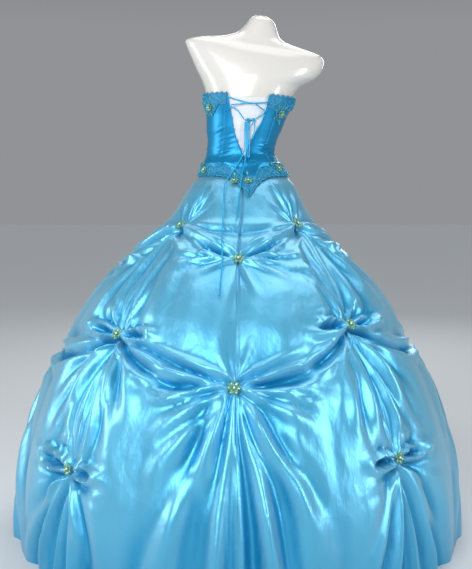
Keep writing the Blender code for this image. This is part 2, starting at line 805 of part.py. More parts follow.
def build_modesty_panel():
    """The pale panel behind the lacing."""
    height = np.linspace(1.296, 1.110, 13)[:, None]
    azimuth = BACK_TURN + np.linspace(-42, 42, 9)[None, :]
    azimuth, height = np.broadcast_arrays(azimuth, height)
    radius = figure_radius(azimuth, height)
    outer = polar_point(azimuth, radius + 0.0024, height)
    inner = polar_point(azimuth, radius + 0.0012, height)
    return wall("modesty_panel", outer, inner, "lining")


def scallop(azimuth):
    return SCALLOP * np.abs(np.sin(np.radians(azimuth) * SCALLOPS / 2))


def trim_band(name, tree, start, end, upper):
    """A band of lace along the neckline or along the hem, with a scalloped edge, laid on the bodice."""
    inset = 0.6
    azimuth = np.linspace(start + inset, end - inset, 1 + round((end - start) / (180 / SCALLOPS)))[None, :]
    edge = neckline(azimuth) if upper else basque_hem(azimuth)
    sign = -1 if upper else 1
    shares = np.array([0.0, 0.5, 1.0])[:, None]
    height = edge + sign * (0.0015 + shares * (TRIM_DEPTH - SCALLOP + 2 * scallop(azimuth)))
    if not upper:
        height = height[::-1]
    azimuth, height = np.broadcast_arrays(azimuth, height)
    radius = radius_over(tree, azimuth, height, 4.5, 0.006)
    outer = polar_point(azimuth, radius + 2 * CLEARANCE + TRIM_THICKNESS, height)
    inner = polar_point(azimuth, radius + 2 * CLEARANCE, height)
    return wall(name, outer, inner, "lace")


def build_trims(bodice):
    tree = surface_tree(bodice)
    left_top = float(opening_edge(-1, np.array([NECKLINE]))[0])
    right_top = float(opening_edge(1, np.array([NECKLINE]))[0])
    return [
        trim_band("trim_neckline", tree, right_top, 360 + left_top, True),
        trim_band("trim_hem_right", tree, BACK_TURN, BACK_TURN + 180, False),
        trim_band("trim_hem_left", tree, BACK_TURN - 180, BACK_TURN, False),
    ]


def loft(name, rings, slot, lower_cap=True, crown=None):
    """A closed solid through rings of points, with a flat end below and a flat or pointed end above."""
    count = len(rings[0])
    points = [tuple(p) for ring in rings for p in ring]
    faces = []
    for level in range(len(rings) - 1):
        for index in range(count):
            after = (index + 1) % count
            low, high = level * count, (level + 1) * count
            faces.append([low + index, low + after, high + after, high + index])
    if lower_cap:
        faces.append(list(range(count))[::-1])
    last = (len(rings) - 1) * count
    if crown is None:
        faces.append(list(range(last, last + count)))
    else:
        points.append(tuple(crown))
        faces += [[last + i, last + (i + 1) % count, len(points) - 1] for i in range(count)]
    mesh = bpy.data.meshes.new(name)
    mesh.from_pydata(points, [], faces)
    face_out(mesh)
    return add_object(name, mesh, slot)


def build_form():
    """The limbless form: level sections up to the arms, then sections that tip with the shoulders."""
    around = np.linspace(0, 360, 28, endpoint=False)
    rings = []
    for height in FORM_LEVELS:
        levels = np.full(len(around), height)
        rings.append(polar_point(around, figure_radius(around, levels), levels))
    for height, width, back, front, x, y, tilt in SHOULDERS:
        radius = oval(around, width, back, front)
        across = radius * np.sin(np.radians(around))
        depth = -radius * np.cos(np.radians(around))
        slope = math.radians(tilt)
        ring = [across * math.cos(slope) + x, depth + y, height - across * math.sin(slope)]
        rings.append(np.stack(ring, axis=-1))
    return loft("form_torso", rings, "form", crown=FORM_CROWN)


def turned(name, profile, slot, sides=32):
    """A solid turned round the Z axis from (radius, height) points, from the bottom up."""
    around = np.radians(np.linspace(0, 360, sides, endpoint=False))
    rings = [
        np.stack([radius * np.sin(around), -radius * np.cos(around), 0 * around + height], axis=-1)
        for radius, height in profile
    ]
    return loft(name, rings, slot)


def build_stand():
    bevel = 0.003
    turned(
        "stand_base",
        ((BASE_RADIUS, 0.0), (BASE_RADIUS, BASE_HEIGHT - bevel), (BASE_RADIUS - bevel, BASE_HEIGHT)),
        "steel",
    )
    turned(
        "stand_pole",
        ((POLE_RADIUS, BASE_HEIGHT + CLEARANCE), (POLE_RADIUS, FORM_BOTTOM - CLEARANCE)),
        "steel",
        sides=16,
    )


def rosette_mesh(radius, height):
    """A low beaded flower: a scalloped rim, a raised ring of petals and a domed middle, flat below."""
    sides = PETALS * 2
    around = np.linspace(0, 2 * math.pi, sides, endpoint=False)
    petal = np.where(np.arange(sides) % 2 == 0, 1.0, 0.80)
    rings = []
    for share, level in ((1.0, 0.0), (0.98, 0.35), (0.45, 0.75)):
        size = radius * share * (petal if share > 0.5 else 1.0)
        rings.append(np.stack([size * np.cos(around), size * np.sin(around), 0 * around + height * level], axis=-1))
    return rings, (0.0, 0.0, height)


def seat_flower(name, tree, point, normal, radius=ROSETTE_RADIUS, height=ROSETTE_HEIGHT, clearance=4 * CLEARANCE):
    """Lays a flower on the cloth at a point: its rim and middle stand just clear of what is under them."""
    normal = Vector(normal).normalized()
    turn = normal.to_track_quat("Z", "Y").to_matrix()
    rings, crown = rosette_mesh(radius, height)
    reach = 0.06
    lift = None
    around = np.linspace(0, 2 * math.pi, 24, endpoint=False)
    places = [(share * radius * math.cos(a), share * radius * math.sin(a)) for share in np.linspace(0, 1, 8) for a in around]
    for x, y in places:
        origin = Vector(point) + turn @ Vector((x, y, 0)) + normal * reach
        hit = tree.ray_cast(origin, -normal, 2 * reach)[0]
        if hit is not None:
            above = reach - (origin - hit).length
            lift = above if lift is None else max(lift, above)
    seat = Vector(point) + normal * ((lift or 0.0) + clearance)
    placed = [[seat + turn @ Vector(p) for p in ring] for ring in rings]
    return loft(name, placed, "flower", crown=seat + turn @ Vector(crown))


def build_rosettes(skirt):
    tree = surface_tree(skirt)
    for column, (turn, _, _) in enumerate(PICK_UPS):
        for line in range(3 if column % 2 else 2):
            grid, normal = skirt_grid([float(turn)], np.array([float(LINE_ROWS[line])]))
            name = f"rosette_{'abc'[line]}{column + 1}"
            seat_flower(name, tree, grid[0, 0], normal[0, 0])


FLOWERS = (
    # name, x, height at the back, or azimuth from the back and height where the back is False
    ("flower_neck_back_left", True, -0.083, 1.272),
    ("flower_neck_back_right", True, 0.127, 1.252),
    ("flower_neck_front_left", False, -140.0, 1.300),
    ("flower_neck_front_right", False, 140.0, 1.294),
    ("flower_hem_side_left", True, -0.098, 1.086),
    ("flower_hem_back_left", True, -0.0105, 1.052),
    ("flower_hem_back_right", True, 0.0300, 1.052),
    ("flower_hem_side_right", True, 0.119, 1.090),
    ("flower_hem_front_left", False, -158.0, 1.062),
    ("flower_hem_front_right", False, 170.0, 1.062),
)


def build_flowers(under):
    """The beaded flowers on the bodice, over its lace."""
    tree = surface_tree(under)
    flowers = []
    for name, on_back, place, height in FLOWERS:
        levels = np.array([height])
        azimuth = azimuth_of_x(place, levels, CLOTH) if on_back else np.array([place])
        point = bodice_point(azimuth, levels, CLOTH)[0]
        across = bodice_point(azimuth + 2, levels)[0] - bodice_point(azimuth - 2, levels)[0]
        down = bodice_point(azimuth, levels - 0.01)[0] - bodice_point(azimuth, levels + 0.01)[0]
        flowers.append(seat_flower(name, tree, point, np.cross(down, across), radius=0.0130, height=0.006, clearance=CLEARANCE))
    return flowers


def cord(name, points, radius, slot="lace"):
    """A round cord along a smooth curve through its route's points."""
    points = [Vector(p) for p in points]
    ends = [points[0] * 2 - points[1], *points, points[-1] * 2 - points[-2]]
    dense = []
    for before, start, stop, after in zip(ends, ends[1:], ends[2:], ends[3:]):
        for share in np.linspace(0, 1, 12, endpoint=False):
            dense.append(
                0.5
                * (
                    2 * start
                    + (stop - before) * share
                    + (2 * before - 5 * start + 4 * stop - after) * share**2
                    + (3 * start - before - 3 * stop + after) * share**3
                )
            )
    dense.append(points[-1])
    steps = [0.0]
    for a, b in zip(dense, dense[1:]):
        steps.append(steps[-1] + (b - a).length)
    count = max(3, round(steps[-1] / (6 * radius)) + 1)
    even = []
    for target in np.linspace(0, steps[-1], count):
        index = min(np.searchsorted(steps, target, side="right") - 1, len(dense) - 2)
        share = (target - steps[index]) / max(steps[index + 1] - steps[index], 1e-9)
        even.append(dense[index].lerp(dense[index + 1], share))
    curve = bpy.data.curves.new(name, "CURVE")
    curve.dimensions = "3D"
    curve.bevel_depth = radius
    curve.bevel_resolution = 2
    curve.use_fill_caps = True
    spline = curve.splines.new("POLY")
    spline.points.add(len(even) - 1)
    for knot, place in zip(spline.points, even):
        knot.co = (*place, 1)
    made = bpy.data.objects.new(name, curve)
    bpy.context.scene.collection.objects.link(made)
    made.data.materials.append(material(slot))
    return made


def build_knot():
    """The flat knot of the lacing, a cushion of cord between the two laced edges."""
    centre, half = Vector(KNOT), Vector(KNOT_HALF)
    rings = []
    for level in (-0.92, -0.6, 0.0, 0.6, 0.92):
        width = math.sqrt(1 - level * level)
        rings.append(
            [
                centre + Vector((half.x * level, -half.y * width * math.cos(a), half.z * width * math.sin(a)))
                for a in np.linspace(0, 2 * math.pi, 10, endpoint=False)
            ]
        )
    return loft("lace_knot", rings, "lace")


def main():
    clear_scene()
    build_form()
    build_stand()
    skirt = build_skirt()
    bodice = build_bodice()
    build_modesty_panel()
    trims = build_trims(bodice)
    build_rosettes(skirt)
    build_flowers([*bodice, *trims])
    build_knot()
    for name, points in LACES:
        cord(name, points, LACE_RADIUS)


main()
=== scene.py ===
# %% [markdown]
# A strapless ball gown on a limbless dress form, made for a reader who is learning Blender.
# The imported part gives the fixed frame: the gown's back faces -Y and the wearer's right is +X.
# Each step below makes one kind of piece, from the cloth of the skirt to the last bead, and the sentences
# before it say why it is made that way.

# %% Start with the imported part
import math

import bmesh
import bpy
import numpy as np
from mathutils import Matrix, Vector, noise
from mathutils.bvhtree import BVHTree


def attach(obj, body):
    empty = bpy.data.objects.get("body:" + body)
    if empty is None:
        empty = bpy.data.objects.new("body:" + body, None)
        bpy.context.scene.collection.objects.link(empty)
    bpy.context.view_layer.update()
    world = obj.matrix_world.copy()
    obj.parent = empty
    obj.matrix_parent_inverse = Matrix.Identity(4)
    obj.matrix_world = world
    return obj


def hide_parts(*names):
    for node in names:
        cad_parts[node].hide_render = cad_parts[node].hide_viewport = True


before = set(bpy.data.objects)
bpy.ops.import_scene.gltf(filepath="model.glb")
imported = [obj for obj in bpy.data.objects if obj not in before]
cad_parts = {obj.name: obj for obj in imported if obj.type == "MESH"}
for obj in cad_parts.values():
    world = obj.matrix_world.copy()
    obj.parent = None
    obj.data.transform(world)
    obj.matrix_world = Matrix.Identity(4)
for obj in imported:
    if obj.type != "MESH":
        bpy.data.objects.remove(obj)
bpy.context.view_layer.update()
print("nodes in the packed part:", len(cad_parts))


# %% [markdown]
# Colours are noted as the hex values that a paint program shows. Blender's shaders work in linear light,
# so one function turns the first into the second. One more adds a shader node with its settings and links.

# %% Colours and shader nodes
def linear(hex_colour):
    """A hex colour as linear red, green, blue and alpha."""
    values = [int(hex_colour[i : i + 2], 16) / 255 for i in (1, 3, 5)]
    return (*(v / 12.92 if v <= 0.04045 else ((v + 0.055) / 1.055) ** 2.4 for v in values), 1.0)


def add_node(tree, kind, links=None, **settings):
    """A shader node. A setting that starts with in_ fills an input, and links feed inputs from other nodes."""
    made = tree.nodes.new(kind)
    for name, value in settings.items():
        if name.startswith("in_"):
            key = name[3:]
            made.inputs[int(key) if key.isdigit() else key.replace("_", " ")].default_value = value
        else:
            setattr(made, name, value)
    for key, output in (links or {}).items():
        tree.links.new(output, made.inputs[key])
    return made


def new_material(name):
    made = bpy.data.materials.new(name)
    made.use_nodes = True
    return made, made.node_tree, made.node_tree.nodes["Principled BSDF"]


def set_shader(shader, **values):
    for key, value in values.items():
        shader.inputs[key.replace("_", " ")].default_value = value


# %% [markdown]
# The skirt and bodice are shot taffeta: a crisp plain weave with one colour in the warp threads and another in
# the threads across them. It is azure where the eye looks straight at it and turns ice blue where the cloth slants
# away, which a Layer Weight mix shows. On the skirt a deeper blue is mixed in as painted shade, down in the folds
# by how deep each point of the cloth lies, and towards the hem. The threads are finer than a pixel here, so the
# weave is drawn as fine slubs. Layers of noise, from hand-sized dents down to those slubs, give the small crumples
# that taffeta keeps.

# %% Shot taffeta
# units of noise in a metre along x, y and z; depth in metres
DENTS = (((5.0, 5.0, 3.0), 0.016), ((23.0, 23.0, 13.0), 0.0034), ((62.0, 62.0, 9.0), 0.0013))
SLUBS, SLUB_STRENGTH = ((260.0, 260.0, 60.0), 0.0005), 0.35
PRESSED_CREASES, PRESSED_SHARE = ((11.0, 11.0, 6.0), 0.010), 0.7


def bumped(tree, height, strength, depth, under):
    """One layer of bump, laid over the layers under it."""
    links = {"Height": height} if under is None else {"Height": height, "Normal": under}
    return add_node(tree, "ShaderNodeBump", links, in_Strength=strength, in_Distance=depth).outputs[0]


def make_taffeta(name, facing, slanting, painted_shade_colour, crumple, metallic, roughness, lustre):
    made, tree, shader = new_material(name)
    place = add_node(tree, "ShaderNodeTexCoord").outputs["Object"]
    slant = add_node(tree, "ShaderNodeLayerWeight", in_Blend=0.30).outputs["Facing"]
    shot = add_node(
        tree, "ShaderNodeMix", {0: slant}, data_type="RGBA", in_6=linear(facing), in_7=linear(slanting)
    )
    # painted shade: a deeper blue is mixed into the skirt's base colour in its folds and towards its hem
    deep = add_node(tree, "ShaderNodeAttribute", attribute_name="fold", attribute_type="GEOMETRY")
    with_painted_shade = add_node(
        tree, "ShaderNodeMix", {0: deep.outputs["Fac"], 6: shot.outputs[2]}, data_type="RGBA", in_7=linear(painted_shade_colour)
    )
    tree.links.new(with_painted_shade.outputs[2], shader.inputs["Base Color"])
    normal = None
    for (scale, depth), strength in (*((dent, crumple) for dent in DENTS), (SLUBS, SLUB_STRENGTH)):
        stretch = add_node(tree, "ShaderNodeMapping", {"Vector": place}, in_Scale=scale)
        grain = add_node(
            tree, "ShaderNodeTexNoise", {"Vector": stretch.outputs[0]}, noise_type="FBM", in_Scale=1.0,
            in_Detail=2.0, in_Distortion=0.5,
        )
        normal = bumped(tree, grain.outputs[0], strength, depth, normal)
    # cells that meet in crisp lines, for the creases that pressed taffeta keeps
    scale, depth = PRESSED_CREASES
    stretch = add_node(tree, "ShaderNodeMapping", {"Vector": place}, in_Scale=scale)
    cells = add_node(
        tree, "ShaderNodeTexVoronoi", {"Vector": stretch.outputs[0]}, in_Scale=1.0, in_Randomness=1.0
    )
    normal = bumped(tree, cells.outputs["Distance"], crumple * PRESSED_SHARE, depth, normal)
    tree.links.new(normal, shader.inputs["Normal"])
    set_shader(shader, Metallic=metallic, Roughness=roughness, IOR=lustre)
    return made


# the bodice's taffeta has darker colours than the skirt's as painted shade, since the boned bodice catches less
# light; it crumples less
skirt_taffeta = make_taffeta(
    "shot taffeta, skirt", facing="#44a6cc", slanting="#98cadf", painted_shade_colour="#0c8ebc", crumple=0.50, metallic=0.52,
    roughness=0.37, lustre=1.90,
)
bodice_taffeta = make_taffeta(
    "shot taffeta, bodice", facing="#067cae", slanting="#2490ba", painted_shade_colour="#0c84a8", crumple=0.22, metallic=0.55,
    roughness=0.38, lustre=1.45,
)


# %% [markdown]
# The rest is simple stock. The cords and the lace are satin rouleau and corded net. The flowers are glass
# beads in a green gold, each with a clear bead in its middle. The panel behind the lacing is matt white satin.
# The form is a moulded shell in gloss white, and its stand is brushed steel.

# %% The other finishes
def make_plain(name, colour, **values):
    made, tree, shader = new_material(name)
    shader.inputs["Base Color"].default_value = linear(colour)
    set_shader(shader, **values)
    return made


def make_bumpy(name, colour, scale, depth, **values):
    made, tree, shader = new_material(name)
    shader.inputs["Base Color"].default_value = linear(colour)
    set_shader(shader, **values)
    place = add_node(tree, "ShaderNodeTexCoord")
    grain = add_node(tree, "ShaderNodeTexNoise", {"Vector": place.outputs["Object"]}, in_Scale=scale, in_Detail=3.0)
    tree.links.new(bumped(tree, grain.outputs[0], 0.6, depth, None), shader.inputs["Normal"])
    return made


rouleau_satin = make_bumpy("satin rouleau", "#089cca", 500.0, 0.0004, Roughness=0.38, Metallic=0.2)
corded_lace = make_bumpy("corded lace", "#086c98", 420.0, 0.0012, Roughness=0.45, Metallic=0.15)
gold_glass = make_plain("green gold glass beads", "#6c9c80", Roughness=0.25, Metallic=0.4)
leaf_glass = make_plain("sea green glass beads", "#5fa894", Roughness=0.22, Metallic=0.35)
clear_glass = make_plain("clear glass beads", "#dfeef2", Roughness=0.08, Metallic=0.2)
white_satin = make_bumpy("white satin lining", "#c9ced6", 60.0, 0.004, Roughness=0.55)
gloss_shell = make_plain("gloss white moulded shell", "#c8c6c1", Roughness=0.24, Coat_Weight=0.5, Coat_Roughness=0.08)
brushed_steel = make_bumpy("brushed steel", "#b4b6ba", 300.0, 0.0002, Roughness=0.32, Metallic=1.0)
print("finishes:", len(bpy.data.materials))


# %% [markdown]
# The gown's sizes are the ones that its solids were made from: level sections of the form, of the skirt's
# mean shape, and the places where the skirt is picked up and tacked. They are kept as short tables, so a
# change of size is a change of one number. One curve that never overshoots joins the rows of each table.

# %% Tables of sizes, in metres
# thickness of the skirt's cloth, gap at its seams, height of its top
CLOTH, SEAM_GAP, SKIRT_TOP = 0.0018, 0.0004, 1.098
# degrees from one column of pick-ups to the next, and degrees that the laced back is turned from -Y
COLUMN_STEP, BACK_TURN = 45.0, 6.0
HALF_COLUMN = COLUMN_STEP / 2
# height of the basque's lower edge, how deep its point hangs under that, width of the point in degrees
BASQUE_HEM, BASQUE_POINT, BASQUE_POINT_WIDTH = 1.074, 0.066, 13.0

# height, x of the figure's middle
CENTRE_LINE = (
    (0.0, 0.0), (0.8, 0.0), (0.89, 0.004), (0.962, 0.012), (1.04, 0.016), (1.07, 0.0175), (1.1, 0.0125),
    (1.144, 0.009), (1.175, 0.0135), (1.21, 0.0195), (1.247, 0.027), (1.284, 0.033), (1.314, 0.037),
    (1.337, 0.0425),
)
# height, half width, half depth at the back, half depth at the front
FIGURE = (
    (0.93, 0.144, 0.108, 0.102), (1.0, 0.148, 0.114, 0.104), (1.07, 0.128, 0.101, 0.094),
    (1.1, 0.113, 0.089, 0.086), (1.144, 0.0965, 0.076, 0.078), (1.175, 0.0985, 0.077, 0.081),
    (1.21, 0.1075, 0.081, 0.088), (1.247, 0.115, 0.086, 0.094), (1.284, 0.13, 0.092, 0.099),
    (1.314, 0.1335, 0.094, 0.1), (1.337, 0.143, 0.093, 0.098),
)
# height, half width, half depth at the back, half depth at the front, centre x, centre y, tilt in degrees
SHOULDERS = (
    (1.355, 0.159, 0.091, 0.093, 0.0485, 0.0, 2.5), (1.374, 0.178, 0.088, 0.087, 0.054, 0.001, 4.5),
    (1.399, 0.195, 0.083, 0.079, 0.056, 0.003, 6.5), (1.425, 0.207, 0.075, 0.069, 0.053, 0.006, 8.0),
    (1.444, 0.212, 0.064, 0.058, 0.051, 0.008, 8.3), (1.456, 0.2, 0.056, 0.051, 0.055, 0.01, 8.3),
    (1.464, 0.166, 0.053, 0.049, 0.061, 0.011, 8.3), (1.471, 0.124, 0.052, 0.049, 0.062, 0.012, 8.3),
    (1.48, 0.09, 0.051, 0.049, 0.06, 0.014, 8.3), (1.494, 0.064, 0.05, 0.049, 0.064, 0.017, 8.3),
    (1.517, 0.048, 0.047, 0.047, 0.071, 0.02, 8.3), (1.537, 0.037, 0.038, 0.038, 0.0735, 0.021, 8.3),
    (1.548, 0.021, 0.022, 0.022, 0.0725, 0.021, 8.3),
)
FORM_CROWN = (0.0720, 0.021, 1.552)
# height, half width, half depth at the back, half depth at the front
SKIRT = (
    (1.098, 0.1175, 0.0935, 0.0905), (1.07, 0.1335, 0.107, 0.1), (1.04, 0.16, 0.14, 0.132),
    (1.0, 0.183, 0.172, 0.165), (0.962, 0.203, 0.198, 0.192), (0.925, 0.23, 0.226, 0.222),
    (0.889, 0.274, 0.268, 0.265), (0.817, 0.342, 0.338, 0.336), (0.746, 0.406, 0.403, 0.403),
    (0.675, 0.458, 0.457, 0.457), (0.605, 0.502, 0.502, 0.502), (0.537, 0.549, 0.549, 0.549),
    (0.467, 0.58, 0.58, 0.58), (0.327, 0.623, 0.623, 0.623), (0.187, 0.656, 0.656, 0.656),
    (0.0, 0.676, 0.676, 0.676),
)
# column, azimuths of its pick-ups from the top, heights of its pick-ups from the top
PICK_UPS = (
    (0, (0.0, -1.0, 0.0), (0.842, 0.54, 0.19)), (45, (47.0, 39.0, 41.5), (0.93, 0.664, 0.336)),
    (90, (90.0, 90.0, 90.0), (0.862, 0.566, 0.2)), (135, (135.0, 136.0, 134.0), (0.926, 0.654, 0.322)),
    (180, (180.0, 181.0, 180.0), (0.846, 0.546, 0.195)),
    (225, (225.0, 223.5, 226.0), (0.922, 0.648, 0.316)),
    (270, (270.0, 270.0, 270.0), (0.812, 0.542, 0.18)), (315, (313.0, 318.5, 316.0), (0.922, 0.64, 0.302)),
)


def soft_curve(knots, values, at):
    """A smooth curve through the values at the knots that never overshoots them."""
    knots, values = np.asarray(knots, float), np.asarray(values, float)
    steps = np.diff(knots)
    slopes = np.diff(values, axis=-1) / steps
    before, after = slopes[..., :-1], slopes[..., 1:]
    product = before * after
    total = np.where(np.abs(before + after) < 1e-12, 1.0, before + after)
    inner = np.where(product > 0, 2 * product / total, 0.0)
    tangents = np.concatenate([slopes[..., :1], inner, slopes[..., -1:]], axis=-1)
    at = np.clip(np.asarray(at, float), knots[0], knots[-1])
    index = np.clip(np.searchsorted(knots, at, side="right") - 1, 0, len(steps) - 1)
    width = steps[index]
    share = (at - knots[index]) / width
    rise = share * share * (3 - 2 * share)
    leave = share * (1 - share) ** 2 * width
    arrive = -share * share * (1 - share) * width
    return (
        values[..., index] * (1 - rise)
        + values[..., index + 1] * rise
        + tangents[..., index] * leave
        + tangents[..., index + 1] * arrive
    )


def from_table(rows, column, height):
    """One column of a table, at any height."""
    ordered = sorted(rows)
    return soft_curve([r[0] for r in ordered], [r[column] for r in ordered], height)


def centre_x(height):
    return from_table(CENTRE_LINE, 1, height)


def oval(azimuth, half_width, half_back, half_front):
    """The radius of an oval whose back and front may differ in depth."""
    turn = np.radians(azimuth)
    depth = np.where(np.cos(turn) > 0, half_back, half_front)
    return 1 / np.sqrt((np.sin(turn) / half_width) ** 2 + (np.cos(turn) / depth) ** 2)


def section_radius(table, azimuth, height):
    return oval(azimuth, *(from_table(table, column, height) for column in (1, 2, 3)))


def wrapped(azimuth, start):
    """How far round an azimuth is from a start, from -180 to 180 degrees."""
    return (azimuth - start + 180) % 360 - 180


def eased(share):
    """A share from 0 to 1 that starts and stops softly."""
    share = np.clip(share, 0, 1)
    return share * share * (3 - 2 * share)


def polar_point(azimuth, radius, height):
    turn = np.radians(azimuth)
    return np.stack(
        [centre_x(height) + radius * np.sin(turn), -radius * np.cos(turn), height + 0 * turn], axis=-1
    )


print("hem to neck:", FORM_CROWN[2], "m; hem across:", 2 * SKIRT[-1][1], "m")


# %% [markdown]
# A piece of cloth is a thin closed wall between an outer and an inner grid of points. A form is lofted
# through rings. Both are written as meshes from their points, because a drape has no simple primitive.

# %% Walls of cloth and lofted forms
def mesh_object(name, points, faces, material, smooth_angle=50):
    mesh = bpy.data.meshes.new(name)
    mesh.from_pydata([tuple(p) for p in points], [], faces)
    work = bmesh.new()
    work.from_mesh(mesh)
    bmesh.ops.recalc_face_normals(work, faces=work.faces)
    work.to_mesh(mesh)
    work.free()
    mesh.shade_smooth()
    mesh.set_sharp_from_angle(angle=math.radians(smooth_angle))
    made = bpy.data.objects.new(name, mesh)
    bpy.context.scene.collection.objects.link(made)
    mesh.materials.append(material)
    return made


def cloth_wall(name, outer, inner, material):
    """A closed wall of cloth between an outer and an inner grid of points."""
    rows, columns = outer.shape[:2]
    inside = rows * columns
    place = np.arange(inside).reshape(rows, columns)
    quads = np.stack([place[:-1, :-1], place[1:, :-1], place[1:, 1:], place[:-1, 1:]], axis=-1).reshape(-1, 4)
    faces = [*quads.tolist(), *(quads[:, ::-1] + inside).tolist()]
    for edge in (place[:, 0], place[:, -1], place[0], place[-1]):
        faces += np.stack([edge[:-1], edge[1:], edge[1:] + inside, edge[:-1] + inside], axis=-1).tolist()
    points = np.concatenate([outer.reshape(-1, 3), inner.reshape(-1, 3)])
    return mesh_object(name, points, faces, material)


def loft(name, rings, material, crown=None):
    """A form through rings of points, with a flat or a pointed end at the top."""
    count = len(rings[0])
    points = [tuple(p) for ring in rings for p in ring]
    faces = []
    for level in range(len(rings) - 1):
        for index in range(count):
            after = (index + 1) % count
            low, high = level * count, (level + 1) * count
            faces.append([low + index, low + after, high + after, high + index])
    faces.append(list(range(count))[::-1])
    last = (len(rings) - 1) * count
    if crown is None:
        faces.append(list(range(last, last + count)))
    else:
        points.append(tuple(crown))
        faces += [[last + i, last + (i + 1) % count, len(points) - 1] for i in range(count)]
    return mesh_object(name, points, faces, material)


def select_only(*pieces):
    bpy.ops.object.select_all(action="DESELECT")
    for piece in pieces:
        piece.select_set(True)
    bpy.context.view_layer.objects.active = pieces[0]


def cord_curve(name, routes, radius, material, roundness):
    """Round cords along their routes, as one curve object."""
    curve = bpy.data.curves.new(name, "CURVE")
    curve.dimensions, curve.use_fill_caps = "3D", True
    curve.bevel_depth, curve.bevel_resolution = radius, roundness
    for route in routes:
        spline = curve.splines.new("POLY")
        spline.points.add(len(route) - 1)
        for knot, place in zip(spline.points, route):
            knot.co = (*place, 1)
    made = bpy.data.objects.new(name, curve)
    bpy.context.scene.collection.objects.link(made)
    curve.materials.append(material)
    return made


def as_mesh(cord):
    select_only(cord)
    bpy.ops.object.convert(target="MESH")
    bpy.ops.object.shade_smooth()
    return bpy.context.object


def dress(piece, slot, *nodes):
    """Ties a piece to the gown's body and hides the solids that it stands for. The slot is not used."""
    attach(piece, "root")
    if nodes:
        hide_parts(*nodes)
    return piece


def flat_cut(grid):
    """The width, length and area that a piece of cloth had before it was made up."""
    across = np.linalg.norm(np.diff(grid, axis=1), axis=-1).sum(axis=1).max()
    down = np.linalg.norm(np.diff(grid, axis=0), axis=-1).sum(axis=0).max()
    first, second = grid[1:, 1:] - grid[:-1, :-1], grid[1:, :-1] - grid[:-1, 1:]
    area = np.linalg.norm(np.cross(first, second), axis=-1).sum() / 2
    # a slanted row runs longer than the cloth is wide, so the width keeps to what the area allows
    across = min(max(across, 1.001 * area / down), area / (0.32 * down))
    return (round(float(across), 4), round(float(down), 4)), round(float(area), 4)


def triangles(piece):
    return sum(len(p.vertices) - 2 for p in piece.data.polygons)


# %% [markdown]
# The skirt is cut as eight gores and gathered into the waist. At each beaded flower a pinch of it is picked
# up and tacked, which draws the cloth into swags at the sides and lets it fall in fans below. Its main form is
# one function of the place round the skirt and down it, the same that gave the solid its swags and fans.
# It is walked here on a far finer grid than the solid's.

# %% The skirt's main form
MERIDIAN_HEIGHTS = np.linspace(SKIRT_TOP, 0.0, 400)
MERIDIAN_RADII = from_table(SKIRT, 1, MERIDIAN_HEIGHTS)
MERIDIAN_LENGTHS = np.concatenate(
    [[0.0], np.cumsum(np.hypot(np.diff(MERIDIAN_HEIGHTS), np.diff(MERIDIAN_RADII)))]
)
# line or height, steps below the line or the height, swell
NET_ROWS = (
    ("height", 1.098, 0.0), ("height", 1.078, 0.0), ("height", 1.055, 0.0), ("height", 1.025, 0.0),
    (None, 0, 0.0), (0, -2, -0.35), (0, -1, 1.0), (0, 0, -1.0), (0, 1, 0.75), (0, 2, -0.45),
    (None, 0, 0.0), (None, 0, 0.0), (1, -2, -0.75), (1, -1, 1.1), (1, 0, -1.1), (1, 1, 0.95), (1, 2, -0.7),
    (None, 0, 0.0), (None, 0, 0.0), (2, -1, 1.0), (2, 0, -1.0), (2, 1, 0.6), (None, 0, 0.0),
    (None, 0, 0.0), ("height", 0.0, 0.0),
)
# rows of the net that hold the three lines of tacks, and the last one
LINE_ROWS = (7, 14, 20)
HEM_ROW = len(NET_ROWS) - 1
# spacing of a swag's rows at a tack and midway, its depth as a share of that, and its sag
SWAG_SPACING = (0.0085, 0.0330)
SWAG_DEPTH, SWAG_SAG = 0.30, 0.016
# how far the swags of each line reach, at the columns with three tacks and at those with two
SWAG_REACH = ((0.80, 0.62, 0.72), (0.95, 1.00, 0.60))
# place and swell of each fold of a fan, from the tack outwards
FAN_KNOTS = (0.00, 0.13, 0.27, 0.44, 0.68, 1.00)
FAN_SWELLS = (0.50, -1.00, 1.00, -0.90, 0.70, -0.30)
# how a fan's folds crowd to the tack, their depth as a share of their width, their greatest depth
FAN_GATHER, FAN_DEPTH, FAN_LIMIT = 1.75, 0.20, 0.010
# how strongly the fans fold at each row of the net, under the low columns and under the high ones
FAN_EVEN = (
    0, 0, 0, 0, 0, 0, 0.1, 0.1, 0.1, 0.15, 0.15, 0.2, 0.3, 0.4, 0.4, 0.9, 1.1, 1.2, 1.2, 1.15, 1.1, 1.1, 1.0,
    1.0, 1.0,
)
FAN_ODD = (
    0, 0, 0, 0, 0.1, 0.3, 0.4, 0.5, 0.8, 0.9, 0.9, 0.9, 0.8, 0.6, 0.6, 1.0, 1.1, 1.1, 1.0, 0.7, 0.5, 1.0, 1.2,
    1.2, 1.1,
)
# depth and width of the dimple at a tack, and swell of the slack cloth between the tacks
PINCH_DEPTH, PINCH_WIDTH, BILLOW = 0.034, 0.20, 0.022


def length_at(height):
    return np.interp(-np.asarray(height, float), -MERIDIAN_HEIGHTS, MERIDIAN_LENGTHS)


def height_at(length):
    return np.interp(length, MERIDIAN_LENGTHS, MERIDIAN_HEIGHTS)


def basque_hem(azimuth):
    """The height of the bodice's lower edge, with its point at the back and a shallow one in front."""
    back = np.abs(wrapped(azimuth, BACK_TURN))
    front = 180 - back
    return BASQUE_HEM - BASQUE_POINT * np.exp(-back / BASQUE_POINT_WIDTH) - 0.045 * np.exp(-((front / 20) ** 2))


def nearest_column(turn):
    """The nearest column of pick-ups, and how far off it is, from -1 to 1."""
    step = np.rint(np.asarray(turn, float) / COLUMN_STEP)
    return step.astype(int) % len(PICK_UPS), (turn - step * COLUMN_STEP) / HALF_COLUMN


def odd_share(turn):
    """1 at the columns with three tacks, 0 at those with two, and soft between."""
    return np.sin(np.radians(np.asarray(turn, float)) * 2) ** 2


